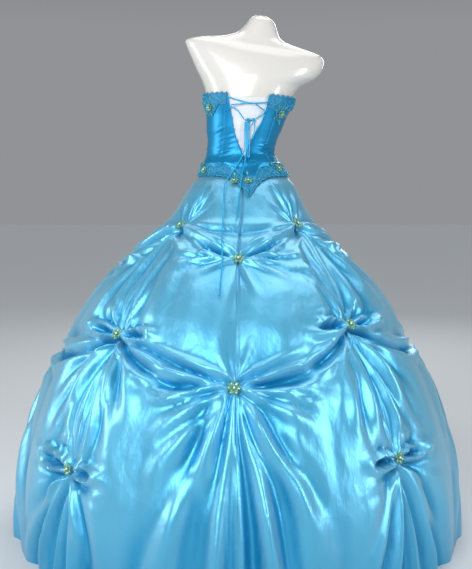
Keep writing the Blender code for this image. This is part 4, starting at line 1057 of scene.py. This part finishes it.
# heights of the panel's top and foot, and its half width in degrees
PANEL_TOP, PANEL_FOOT, PANEL_HALF = 1.296, 1.110, 42
height = np.linspace(PANEL_TOP, PANEL_FOOT, 44)[:, None]
azimuth = BACK_TURN + np.linspace(-PANEL_HALF, PANEL_HALF, 50)[None, :]
azimuth, height = np.broadcast_arrays(azimuth, height)
down = (PANEL_TOP - height) / (PANEL_TOP - PANEL_FOOT)
relief = 0
for top, foot, width, rise in PANEL_CREASES:
    relief = relief + rise * np.exp(-(((azimuth - (top + (foot - top) * down)) / width) ** 2))
radius = figure_radius(azimuth, height)
panel_face = polar_point(azimuth, radius + 0.0022 + relief, height)
panel = cloth_wall("satin_panel", panel_face, polar_point(azimuth, radius + 0.0012, height), white_satin)
dress(panel, "lining", "modesty_panel")
cuts[panel] = flat_cut(panel_face)
print(panel.name, "was cut", *cuts[panel])


# %% [markdown]
# Corded lace edges the bodice at the neckline and along the basque, and runs deeper round each flower of the
# neckline. It is cut out along its own scallops and sewn flat on the taffeta, so its band is made on the
# bodice's surface and lifted a little. What makes it lace to the eye is the silky cord that outlines its
# edges, its vine and its leaves. Each cord is a curve with a round bevel, laid on the band.

# %% Lace bands
# depth of a band, depth of its scallops and their number all round, thickness, height above the taffeta
TRIM_DEPTH, SCALLOP, SCALLOPS, TRIM_THICKNESS, TRIM_LIFT = 0.026, 0.0045, 22, 0.0012, 0.0012


def azimuth_of_x(x, height):
    """The azimuth where the bodice's back has this x."""
    azimuth = 0.0
    for _ in range(12):
        radius = float(bodice_radius(np.array(azimuth), np.array(height))) + BODICE_CLOTH
        azimuth = math.degrees(math.asin(max(-0.95, min(0.95, (x - float(centre_x(height))) / radius))))
    return azimuth


# azimuth of a flower near the neckline, how much deeper the lace runs there, how wide that is in degrees
DEEPER = (
    (azimuth_of_x(-0.083, 1.272) % 360, 0.036, 12.0), (azimuth_of_x(0.127, 1.252), 0.040, 13.0),
    (azimuth_of_x(0.086, 1.285), 0.008, 9.0), (140.0, 0.026, 14.0), (220.0, 0.026, 14.0),
)


def scallop(azimuth):
    return SCALLOP * np.abs(np.sin(np.radians(azimuth) * SCALLOPS / 2)) ** 0.7


def lace_surface(azimuth, height):
    return bodice_radius(azimuth, height) + BODICE_CLOTH + np.maximum(tucks(azimuth, height), 0) + TRIM_LIFT


def lace_edges(azimuth, upper):
    """The heights of the band's outer scalloped edge and of its inner one."""
    edge = neckline(azimuth) if upper else basque_hem(azimuth)
    sign = -1 if upper else 1
    over = (0.0065 if upper else 0.0035) * np.abs(np.sin(np.radians(azimuth) * SCALLOPS)) ** 0.8
    depth = TRIM_DEPTH - SCALLOP + 2 * scallop(azimuth)
    if upper:
        for middle, extra, width in DEEPER:
            depth = depth + extra * np.exp(-(((np.mod(azimuth, 360) - middle) / width) ** 2))
    return edge - sign * over, edge + sign * depth


def lace_band(name, azimuth, upper, node):
    """A band of lace along the neckline or the basque, sewn on the taffeta."""
    outer_edge, inner_edge = (row[None, :] for row in lace_edges(azimuth, upper))
    shares = np.linspace(0, 1, 20)[:, None]
    height = outer_edge + (inner_edge - outer_edge) * (shares if upper else 1 - shares)
    azimuth, height = np.broadcast_arrays(azimuth[None, :], height)
    radius = lace_surface(azimuth, height)
    outer = polar_point(azimuth, radius + TRIM_THICKNESS, height)
    piece = dress(cloth_wall(name, outer, polar_point(azimuth, radius, height), corded_lace), "lace", node)
    cuts[piece] = flat_cut(outer)
    return outer


neck_start = float(opening_edge(1, np.array([NECKLINE]))[0])
neck_end = 360 + float(opening_edge(-1, np.array([NECKLINE]))[0])
BANDS = (
    ("lace_neckline", neck_start, neck_end, True, "trim_neckline"),
    ("lace_basque_right", BACK_TURN, BACK_TURN + 180, False, "trim_hem_right"),
    ("lace_basque_left", BACK_TURN - 180, BACK_TURN, False, "trim_hem_left"),
)
bands = {}
for name, start, end, upper, node in BANDS:
    turns = np.linspace(start + 0.6, end - 0.6, 1 + round((end - start) / 0.50))
    bands[name] = (turns, upper, lace_band(name, turns, upper, node))

# %% The cord that outlines the lace
# length of the vine's wave, its sway as a share of the band, spacing of its leaves, radius of the cord
VINE_WAVE, VINE_SWAY, LEAF_STEP, CORD = 0.034, 0.20, 0.0085, 0.00075
silky_cord = make_plain("silky lace cord", "#34a0c4", Roughness=0.3, Metallic=0.3)


def cord_routes(turns, upper):
    """The routes of the edge cords, the two vines and the leaves of a band."""
    outer_edge, inner_edge = lace_edges(turns, upper)
    radius = bodice_radius(turns, (outer_edge + inner_edge) / 2)
    run = np.concatenate([[0], np.cumsum(np.radians(np.diff(turns)) * (radius[1:] + radius[:-1]) / 2)])

    def on_band(along_it, share):
        high, low = np.interp(along_it, run, outer_edge), np.interp(along_it, run, inner_edge)
        return np.interp(along_it, run, turns), high + (low - high) * share

    fine = np.arange(0.001, run[-1], 0.0016)
    sway = 2 * math.pi * fine / VINE_WAVE
    found = [on_band(fine, 0.03), on_band(fine, 0.96), on_band(fine, 0.5 + VINE_SWAY * np.sin(sway))]
    found.append(on_band(fine, 0.5 - VINE_SWAY * np.sin(sway + 0.9)))
    for index, middle in enumerate(np.arange(0.008, run[-1] - 0.008, LEAF_STEP)):
        for share in (0.24, 0.76) if index % 2 else (0.5,):
            lean = 0.7 * math.sin(1.7 * index) + (1.0 if share > 0.5 else -1.0)
            t = np.linspace(0, 2 * math.pi, 11)
            x, y = 0.0042 * np.cos(t), 0.0021 * np.sin(t) * (1 - 0.45 * np.cos(t))
            turn, height = on_band(middle + x * math.cos(lean) - y * math.sin(lean), share)
            found.append((turn, height[0] + x * math.sin(lean) + y * math.cos(lean)))
    return found


for name, (turns, upper, _) in bands.items():
    routes = []
    for turn, height in cord_routes(turns, upper):
        radius = lace_surface(turn, height) + TRIM_THICKNESS + CORD * 0.4
        routes.append(polar_point(turn, radius, height))
    cords = as_mesh(cord_curve(name.replace("lace", "cords"), routes, CORD, silky_cord, 1))
    dress(cords, "lace")

# %% Beads on the lace
def ball(name, radius, material, rounds=1):
    bpy.ops.mesh.primitive_ico_sphere_add(subdivisions=rounds, radius=radius, location=(0, 0, 0))
    made = bpy.context.object
    made.name = name
    bpy.ops.object.shade_smooth()
    made.data.materials.append(material)
    return made


def copies_in_one(name, model, places):
    """One mesh that holds the model at each place, a matrix. The model is deleted."""
    points = np.array([v.co for v in model.data.vertices])
    faces = [list(p.vertices) for p in model.data.polygons]
    kinds = [p.material_index for p in model.data.polygons]
    all_points, all_faces, all_kinds = [], [], []
    for index, place in enumerate(places):
        matrix = np.array(place)
        all_points.append(points @ matrix[:3, :3].T + matrix[:3, 3])
        all_faces += [[index * len(points) + i for i in f] for f in faces]
        all_kinds += kinds
    mesh = bpy.data.meshes.new(name)
    mesh.from_pydata(np.concatenate(all_points).tolist(), [], all_faces)
    for material in model.data.materials:
        mesh.materials.append(material)
    mesh.polygons.foreach_set("material_index", all_kinds)
    mesh.shade_smooth()
    made = bpy.data.objects.new(name, mesh)
    bpy.context.scene.collection.objects.link(made)
    bpy.data.objects.remove(model)
    return made


def along(row, spacing):
    """Evenly spaced points along a row."""
    steps = np.concatenate([[0], np.cumsum(np.linalg.norm(np.diff(row, axis=0), axis=1))])
    at = np.arange(spacing / 2, steps[-1], spacing)
    return np.stack([np.interp(at, steps, row[:, k]) for k in range(3)], axis=-1)


bead_places = []
for _, _, band in bands.values():
    for row, spacing in ((0, 0.0060), (-1, 0.0060), (12, 0.0125)):
        bead_places += [Matrix.Translation(Vector(p)) for p in along(band[row], spacing)]
beads = copies_in_one("lace_beads", ball("bead", 0.0011, leaf_glass), bead_places)
dress(beads, "lace")
print("lace beads:", len(bead_places))


# %% [markdown]
# Each flower is sewn up from glass beads: six petals, each a padded oval, a rim of small beads, a ring of them
# inside and a clear bead in the middle. One is modelled and copied to each tack of the skirt and to each place
# on the bodice. It is turned to face out of the cloth, and set down until its rim just meets the folds.

# %% One beaded flower and one leaf
# a flower's radius, the tip of its petals in radians, the radius of a small bead
FLOWER_SIZE, PETALS, PETAL_TIP, SMALL_BEAD = 0.017, 6, 0.28, 0.0013


def oval_petal(length, width, rise, place, turn, material, name):
    bpy.ops.mesh.primitive_uv_sphere_add(
        segments=10, ring_count=6, radius=1, location=place, rotation=(0, -PETAL_TIP, turn)
    )
    made = bpy.context.object
    made.name = name
    made.scale = (length, width, rise)
    bpy.ops.object.transform_apply(location=True, rotation=True, scale=True)
    bpy.ops.object.shade_smooth()
    made.data.materials.append(material)
    return made


def join(pieces, name):
    select_only(*pieces)
    bpy.ops.object.join()
    made = bpy.context.object
    made.name = name
    return made


def moved_ball(radius, material, place, rounds=1):
    made = ball("bead", radius, material, rounds)
    made.location = place
    bpy.ops.object.transform_apply(location=True)
    return made


def bead_ring(count, half_width, half_height, level, radius, glass, wave=0.0):
    """Beads round an oval, whose edge may swell at each petal."""
    ring = []
    for index in range(count):
        turn = 2 * math.pi * index / count
        swell = 1 + wave * math.cos(PETALS * turn)
        place = (half_width * swell * math.cos(turn), half_height * swell * math.sin(turn), level)
        ring.append(moved_ball(radius, glass, place))
    return ring


def model_flower(name):
    size, parts = FLOWER_SIZE, []
    for index in range(PETALS):
        turn = 2 * math.pi * index / PETALS
        place = (0.58 * size * math.cos(turn), 0.58 * size * math.sin(turn), 0.0022)
        parts.append(oval_petal(0.45 * size, 0.32 * size, 0.0021, place, turn, gold_glass, "petal"))
    parts += bead_ring(24, 0.93 * size, 0.93 * size, 0.0014, SMALL_BEAD, leaf_glass, wave=0.06 / 0.93)
    parts += bead_ring(9, 0.27 * size, 0.27 * size, 0.0050, SMALL_BEAD, gold_glass)
    parts.append(moved_ball(0.0030, clear_glass, (0, 0, 0.0048), 2))
    return join(parts, name)


def surface_tree(objects):
    """The surfaces of the pieces, as one tree that rays can be cast at."""
    points, faces = [], []
    for source in objects:
        start = len(points)
        points += [v.co.copy() for v in source.data.vertices]
        faces += [[start + i for i in p.vertices] for p in source.data.polygons]
    return BVHTree.FromPolygons(points, faces)


# how far out of the cloth the rays start that feel for its folds
FEELER = 0.06


def seat_on(tree, point, normal, radius, spin=0.0, clearance=0.0003, ease=0.0):
    """The place of a flat-backed flower that stands just clear of the cloth under it."""
    normal = Vector(normal).normalized()
    turn = normal.to_track_quat("Z", "Y").to_matrix() @ Matrix.Rotation(spin, 3, "Z")
    rises = []
    for share in np.linspace(0, 1, 6):
        for angle in np.linspace(0, 2 * math.pi, 16, endpoint=False):
            offset = turn @ Vector((share * radius * math.cos(angle), share * radius * math.sin(angle), 0))
            start = Vector(point) + offset + normal * FEELER
            hit = tree.ray_cast(start, -normal, 2 * FEELER)[0]
            if hit is not None:
                rises.append(FEELER - (start - hit).length)
    rises.sort()
    lift = rises[-1 - int(ease * len(rises))] if rises else 0.0
    return Matrix.Translation(Vector(point) + normal * (lift + clearance)) @ turn.to_4x4()


# %% Flowers at the skirt's tacks
skirt_tree = surface_tree(skirt_pieces)
flower_places = {}
for column, (turn, _, _) in enumerate(PICK_UPS):
    for line in range(3 if column % 2 else 2):
        row = float(LINE_ROWS[line])
        grid, normal, _ = skirt_grid([float(turn)], np.array([row]))
        place = seat_on(skirt_tree, grid[0, 0], normal[0, 0], FLOWER_SIZE, spin=0.7 * column + line, ease=0.12)
        node = f"rosette_{'abc'[line]}{column + 1}"
        flower_places[node] = place
skirt_flowers = copies_in_one("skirt_flowers", model_flower("flower"), list(flower_places.values()))
dress(skirt_flowers, "flower", *flower_places)
print("skirt flowers:", len(flower_places), "with", triangles(skirt_flowers), "triangles")

# %% Flowers and leaves on the bodice
# node, on the back by x or round it by azimuth, x or azimuth, height
BODICE_FLOWERS = (
    ("flower_neck_back_left", True, -0.083, 1.272), ("flower_neck_back_right", True, 0.127, 1.252),
    ("flower_neck_front_left", False, -140.0, 1.3), ("flower_neck_front_right", False, 140.0, 1.294),
    ("flower_hem_side_left", True, -0.098, 1.086), ("flower_hem_back_left", True, -0.0105, 1.052),
    ("flower_hem_back_right", True, 0.03, 1.052), ("flower_hem_side_right", True, 0.119, 1.09),
    ("flower_hem_front_left", False, -158.0, 1.062), ("flower_hem_front_right", False, 170.0, 1.062),
)
# the flowers on the bodice are smaller, and each has a few leaves round it where the cloth has room
BODICE_FLOWER, LEAVES_ROUND = 0.013, 5


def bodice_frame(azimuth, height):
    """A point on the bodice and the direction out of it."""
    point = bodice_point(azimuth, height, BODICE_CLOTH)
    across = bodice_point(azimuth + 2, height) - bodice_point(azimuth - 2, height)
    down = bodice_point(azimuth, height - 0.01) - bodice_point(azimuth, height + 0.01)
    return point, np.cross(down, across)


lace_pieces = [bpy.data.objects[name] for name in bands]
bodice_tree = surface_tree([*bodice_pieces, *lace_pieces])
places, leaf_places = [], []
for index, (node, on_back, place, height) in enumerate(BODICE_FLOWERS):
    azimuth = azimuth_of_x(place, height) if on_back else place
    point, normal = bodice_frame(azimuth, height)
    small = Matrix.Scale(BODICE_FLOWER / FLOWER_SIZE, 4)
    places.append(seat_on(bodice_tree, point, normal, BODICE_FLOWER, spin=1.1 * index) @ small)
    around_it = float(bodice_radius(np.array(azimuth), np.array(height)))
    for leaf in range(LEAVES_ROUND):
        angle = 1.1 * index + 2 * math.pi * leaf / LEAVES_ROUND
        reach = 0.0215 + 0.003 * (leaf % 2)
        leaf_azimuth = azimuth + math.degrees(reach * math.cos(angle) / around_it)
        leaf_height = height + reach * math.sin(angle)
        low, high = float(basque_hem(leaf_azimuth)), float(neckline(leaf_azimuth))
        if low + 0.006 < leaf_height < high - 0.004:
            leaf_point, leaf_normal = bodice_frame(leaf_azimuth, leaf_height)
            leaf_places.append(seat_on(bodice_tree, leaf_point, leaf_normal, 0.006, spin=angle))
bodice_flowers = copies_in_one("bodice_flowers", model_flower("flower"), places)
dress(bodice_flowers, "flower", *[row[0] for row in BODICE_FLOWERS])


# %% [markdown]
# A leaf is a narrow oval of sea green glass with a rim of beads. A few lie round each flower of the bodice. One
# of clear glass stands up from the flower below the right of the waist, as in the photograph, and two more
# stand on the sides that it hides.

# %% Beaded leaves
def model_leaf(glass):
    middle = oval_petal(0.0062, 0.0022, 0.0011, (0, 0, 0.0011), 0, glass, "leaf")
    return join([middle, *bead_ring(10, 0.0066, 0.0027, 0.0009, 0.0008, leaf_glass)], "leaf")


# flower that a leaf stands up from, and its lean in radians from level
STANDING_LEAVES = (("rosette_a2", 1.25), ("rosette_a4", 1.8), ("rosette_a6", 1.4))
standing = []
for node, angle in STANDING_LEAVES:
    place = flower_places[node]
    out = place.to_3x3() @ Vector((0, 0, 1))
    up = (Vector((0, 0, 1)) - out * out.z).normalized()
    side_way = up.cross(out)
    aim = side_way * math.cos(angle) + up * math.sin(angle)
    turn = Matrix((aim, out.cross(aim), out)).transposed().to_4x4()
    foot = Matrix.Translation(place.translation + aim * 0.024 + out * 0.002)
    standing.insert(0, foot @ turn @ Matrix.Scale(1.35, 4))
leaves = dress(copies_in_one("beaded_leaves", model_leaf(leaf_glass), leaf_places), "flower")
skirt_leaves = dress(copies_in_one("skirt_leaves", model_leaf(clear_glass), standing), "flower")
print("leaves:", len(leaf_places), "on the bodice and", len(standing), "on the skirt")


# %% [markdown]
# The back is drawn together with a satin rouleau: a thin tube of bias-cut satin. It crosses between small loops
# of the same stuff that are sewn in along both edges. Its two ends hang down the back, and one loop of the
# bow hangs with them. Each run of it is a curve with a round bevel, on the route that its solid has, set out
# a little wherever a fold of the cloth stands under it.

# %% The lacing
LACE_RADIUS = 0.0018
# the solid that a run stands for, points along its route
LACES = (
    ("lace_upper", (
        (-0.029, -0.0908, 1.2985), (-0.0135, -0.0928, 1.2931), (0.002, -0.0948, 1.288),
        (0.0177, -0.0961, 1.2833), (0.0331, -0.0963, 1.28), (0.0477, -0.0961, 1.2793),
        (0.062, -0.0959, 1.28), (0.0763, -0.0956, 1.2811), (0.0905, -0.0954, 1.2825),
    )),
    ("lace_left", (
        (-0.02, -0.0892, 1.27), (-0.0118, -0.0898, 1.2664), (-0.004, -0.0904, 1.262),
        (0.0027, -0.0907, 1.2553), (0.0085, -0.0902, 1.248), (0.0134, -0.0897, 1.2412),
        (0.018, -0.0891, 1.2345),
    )),
    ("lace_right", (
        (0.085, -0.0882, 1.26), (0.0776, -0.0878, 1.2528), (0.07, -0.0874, 1.246),
        (0.0621, -0.087, 1.2403), (0.054, -0.0866, 1.235),
    )),
    ("lace_bow", (
        (0.0292, -0.0885, 1.2258), (0.0293, -0.0888, 1.2131), (0.0294, -0.0893, 1.2),
        (0.0293, -0.09, 1.1831), (0.0292, -0.091, 1.165), (0.0293, -0.0922, 1.1458),
        (0.0297, -0.0937, 1.13), (0.0308, -0.0948, 1.1236), (0.0322, -0.0938, 1.1225),
        (0.0336, -0.0927, 1.1236), (0.0347, -0.0916, 1.13), (0.0347, -0.0906, 1.1458),
        (0.0344, -0.0898, 1.165), (0.0345, -0.0892, 1.1831), (0.0346, -0.0887, 1.2),
        (0.0345, -0.0885, 1.2131), (0.0344, -0.0883, 1.2258),
    )),
    ("lace_tail_long", (
        (0.0213, -0.0885, 1.2258), (0.0207, -0.089, 1.2131), (0.0203, -0.0896, 1.2),
        (0.0208, -0.0905, 1.1836), (0.0208, -0.0916, 1.166), (0.0194, -0.093, 1.1489),
        (0.0158, -0.0972, 1.132), (0.0077, -0.1044, 1.1161), (-0.002, -0.1118, 1.1),
        (-0.0148, -0.1193, 1.0818), (-0.027, -0.127, 1.064), (-0.0342, -0.1382, 1.0494),
        (-0.0385, -0.1507, 1.035), (-0.0403, -0.1637, 1.0176), (-0.0405, -0.1773, 1.0),
        (-0.0399, -0.1916, 0.9853), (-0.0395, -0.2099, 0.97), (-0.0409, -0.2268, 0.9507),
        (-0.0425, -0.2463, 0.93), (-0.0434, -0.2669, 0.9094), (-0.0437, -0.2909, 0.889),
        (-0.0432, -0.3002, 0.8687), (-0.0425, -0.3155, 0.85), (-0.0422, -0.3405, 0.8359),
        (-0.0424, -0.3562, 0.822), (-0.044, -0.372, 0.8038), (-0.046, -0.3879, 0.785),
        (-0.0475, -0.4039, 0.7687), (-0.049, -0.4194, 0.753),
    )),
    ("lace_tail_short", (
        (0.0252, -0.0885, 1.225), (0.025, -0.089, 1.2131), (0.0248, -0.0897, 1.2),
        (0.0249, -0.0905, 1.1837), (0.025, -0.0916, 1.166), (0.0248, -0.0928, 1.1479),
        (0.024, -0.0995, 1.13), (0.0219, -0.1066, 1.1134), (0.019, -0.114, 1.098),
        (0.0153, -0.122, 1.0844), (0.012, -0.1305, 1.072), (0.0105, -0.1395, 1.061),
        (0.0095, -0.1489, 1.05), (0.0079, -0.1577, 1.0381), (0.006, -0.1685, 1.024),
        (0.0035, -0.18, 1.0054), (0.001, -0.1915, 0.985), (-0.0007, -0.2032, 0.9651),
        (-0.0022, -0.215, 0.945),
    )),
)


def clear_of(tree, points):
    """Moves the points of a hanging cord out until it clears the cloth behind it."""
    points = np.array(points, float)
    need = points[:, 1].copy()
    for index, (x, y, z) in enumerate(points):
        for side_step in (-1.2, 0, 1.2):
            for step in (-4, -2, 0, 2, 4):
                start = Vector((x + side_step * LACE_RADIUS, -1.5, z + step * LACE_RADIUS))
                hit = tree.ray_cast(start, Vector((0, 1, 0)), 2.0)[0]
                if hit is not None:
                    need[index] = min(need[index], hit.y - LACE_RADIUS - 0.0006)
    for _ in range(3):
        middle = (need[:-2] + need[2:]) / 2
        need[1:-1] = np.minimum(need[1:-1], middle)
    points[:, 1] = need
    return points


def smooth_route(points, per_span=8):
    """A smooth curve through all the points."""
    points = [Vector(p) for p in points]
    ends = [points[0] * 2 - points[1], *points, points[-1] * 2 - points[-2]]
    route = []
    for a, b, c, d in zip(ends, ends[1:], ends[2:], ends[3:]):
        for t in np.linspace(0, 1, per_span, endpoint=False):
            square, cube = 2 * a - 5 * b + 4 * c - d, 3 * b - a - 3 * c + d
            route.append(0.5 * (2 * b + (c - a) * t + square * t**2 + cube * t**3))
    return [*route, points[-1]]


def rouleau(name, route, radius=LACE_RADIUS):
    return cord_curve(name, [route], radius, rouleau_satin, 3)


def rouleau_run(name, points, *nodes, far_end="object", lay="taut"):
    route = smooth_route(clear_of(cloth_tree, points))
    cord = dress(rouleau(name, route), "lace", *nodes)


cloth_tree = surface_tree([*skirt_pieces, *bodice_pieces, *lace_pieces, panel, bodice_flowers, form])
for node, points in LACES:
    far_end = "bare" if node.startswith("lace_tail") else "object"
    lay = "hanging" if far_end == "bare" or node == "lace_bow" else "taut"
    rouleau_run(node.replace("lace", "rouleau"), points, node, far_end=far_end, lay=lay)


# %% [markdown]
# One more run crosses over the top one. The two ends are tied in a pair of knots, each a few turns round the
# cord with a short end that sticks out, and small loops of finer rouleau stand along both edges of the opening.

# %% The crossing over the top run, the knot and the loops
CROSSING = (
    (-0.0195, -0.0975, 1.2745), (0.006, -0.1, 1.2765), (0.031, -0.1012, 1.2795), (0.051, -0.1008, 1.277),
    (0.065, -0.099, 1.267), (0.0785, -0.093, 1.258),
)
rouleau_run("rouleau_crossing", CROSSING)
KNOT = (0.0358, -0.0908, 1.2310)
# how far each turn of the knots is along the cord, and how far it is raised
KNOT_TURNS = ((-0.0062, 0.0004), (-0.0022, -0.0006), (0.0095, 0.0008), (0.0135, -0.0002))
# the two short ends that stick out of the knots
KNOT_ENDS = (
    ((0.046, -0.0935, 1.229), (0.043, -0.095, 1.219), (0.0375, -0.0955, 1.2115), (0.03, -0.095, 1.205)),
    ((0.048, -0.0935, 1.227), (0.0495, -0.095, 1.21), (0.0475, -0.095, 1.195), (0.0425, -0.0945, 1.183)),
)
# heights of the loops along the opening, the radius of their tube, their half height and how far they reach in
LOOPS = (1.292, 1.266, 1.240, 1.206, 1.174, 1.146)
LOOP_RADIUS, LOOP_HALF, LOOP_REACH, LOOP_BACK = 0.0011, 0.0042, 0.0052, 0.0032
# the opening's edge is about this far from the figure's middle
EDGE_RADIUS = 0.09


def small_tube(name, points, radius):
    return as_mesh(rouleau(name, smooth_route(points, 6), radius))


x, y, z = KNOT
wraps = []
for offset, rise in KNOT_TURNS:
    ring = [
        (x + offset + 0.0012 * math.sin(2 * a), y - 0.0030 * math.cos(a), z + rise + 0.0040 * math.sin(a))
        for a in np.linspace(0, 2 * math.pi, 9)
    ]
    wraps.append(small_tube("wrap", ring, 0.0017))
through = (
    (x - 0.0150, y, z + 0.001), (x - 0.004, y + 0.0006, z), (x + 0.006, y + 0.0006, z), (x + 0.0155, y, z + 0.001)
)
wraps.append(small_tube("wrap", through, LACE_RADIUS))
wraps += [small_tube("end", end, 0.0015) for end in KNOT_ENDS]
dress(join(wraps, "rouleau_knot"), "lace", "lace_knot")
loops = []
for level in LOOPS:
    for hand in (-1, 1):
        turn = float(opening_edge(hand, np.array([level]))[0])
        points = []
        for angle in np.linspace(-1, 1, 7):
            inward = LOOP_REACH * math.cos(angle * math.pi / 2) - LOOP_BACK
            height = level + LOOP_HALF * angle
            aside = turn - hand * math.degrees(inward / EDGE_RADIUS)
            radius = float(bodice_radius(np.array(aside), np.array(height))) + BODICE_CLOTH + 2 * LOOP_RADIUS
            points.append(polar_point(np.array(aside), radius, np.array(height)))
        loops.append(small_tube("loop", points, LOOP_RADIUS))
dress(join(loops, "rouleau_loops"), "lace")
print("loops:", 2 * len(LOOPS))


# %% [markdown]
# The gown stands on a plain pale floor in a studio. One large soft light stands behind the camera, high up and
# a little to the left, and makes the broad highlights of the taffeta. A narrow strip at either side draws the
# edges of the folds, a weak softbox lights the side that the photograph hides, and a wide scrim fills from above.

# %% Floor, lights and camera
bpy.ops.mesh.primitive_plane_add(size=60, location=(0, 0, 0))
floor = bpy.context.object
floor.name = "studio floor"
floor.data.materials.append(make_plain("pale studio paper", "#b6babd", Roughness=0.95, Specular_IOR_Level=0.1))

# name, place, height that it is aimed at, width and height, power in watts
LIGHTS = (
    ("key softbox", (-1.0, -3.4, 2.3), 0.6, (2.7, 2.0), 138),
    ("right strip", (3.0, -2.0, 1.6), 0.7, (0.5, 2.0), 52),
    ("left strip", (-3.3, -0.6, 1.6), 0.7, (0.5, 2.0), 46),
    ("back softbox", (0.6, 3.4, 2.5), 0.6, (1.8, 1.5), 40),
)


def stage_light(name, kind, power):
    lamp = bpy.data.lights.new(name, kind)
    lamp.energy = power
    made = bpy.data.objects.new(name, lamp)
    bpy.context.scene.collection.objects.link(made)
    return made


for name, place, aim, (width, height), power in LIGHTS:
    made = stage_light(name, "AREA", power)
    made.data.shape, made.data.size, made.data.size_y = "RECTANGLE", width, height
    made.location = place
    made.rotation_euler = (Vector((0, 0, aim)) - Vector(place)).to_track_quat("-Z", "Y").to_euler()
overhead = stage_light("overhead scrim", "SUN", 1.8)
overhead.data.angle = 1.0
overhead.rotation_euler = (math.radians(-14), math.radians(8), 0)
# a pale paper sweep behind and all round, and a dim ceiling over it, so that the folds keep their contrast
world = bpy.data.worlds.new("studio")
world.use_nodes = True
tree = world.node_tree
way = add_node(tree, "ShaderNodeTexCoord")
rise = add_node(tree, "ShaderNodeSeparateXYZ", {0: way.outputs["Generated"]})
ramp = add_node(tree, "ShaderNodeValToRGB", {0: rise.outputs["Z"]})
for stop, place, colour in zip(ramp.color_ramp.elements, (0.20, 0.52), ("#e0e3e7", "#626e7a")):
    stop.position, stop.color = place, linear(colour)
tree.links.new(ramp.outputs[0], tree.nodes["Background"].inputs["Color"])
tree.nodes["Background"].inputs["Strength"].default_value = 0.38
# plain colours, as a telephone shows them, so that azure stays azure where light bounces twice in a fold
bpy.context.scene.view_settings.view_transform = "Standard"
bpy.context.scene.world = world

camera = bpy.data.objects.new("camera", bpy.data.cameras.new("camera"))
camera.data.sensor_fit = "VERTICAL"
camera.data.sensor_height = camera.data.sensor_width = 36.0
camera.data.lens = 51.25
camera.location = (-0.005, -2.5, 1.0)
camera.rotation_euler = (math.radians(84.0), 0, 0)
bpy.context.scene.collection.objects.link(camera)
bpy.context.scene.camera = camera

# %% [markdown]
# Whoever simulates the gown needs the flat size of each piece of cloth. The gores are gathered into the waist,
# and the boned bodice is stretched over the form.

# %% Say how the cloth was cut
whole_area = round(sum(area for _, area in cuts.values()), 2)
print("pieces of cloth:", len(cuts), "and their whole area:", whole_area, "square metres")
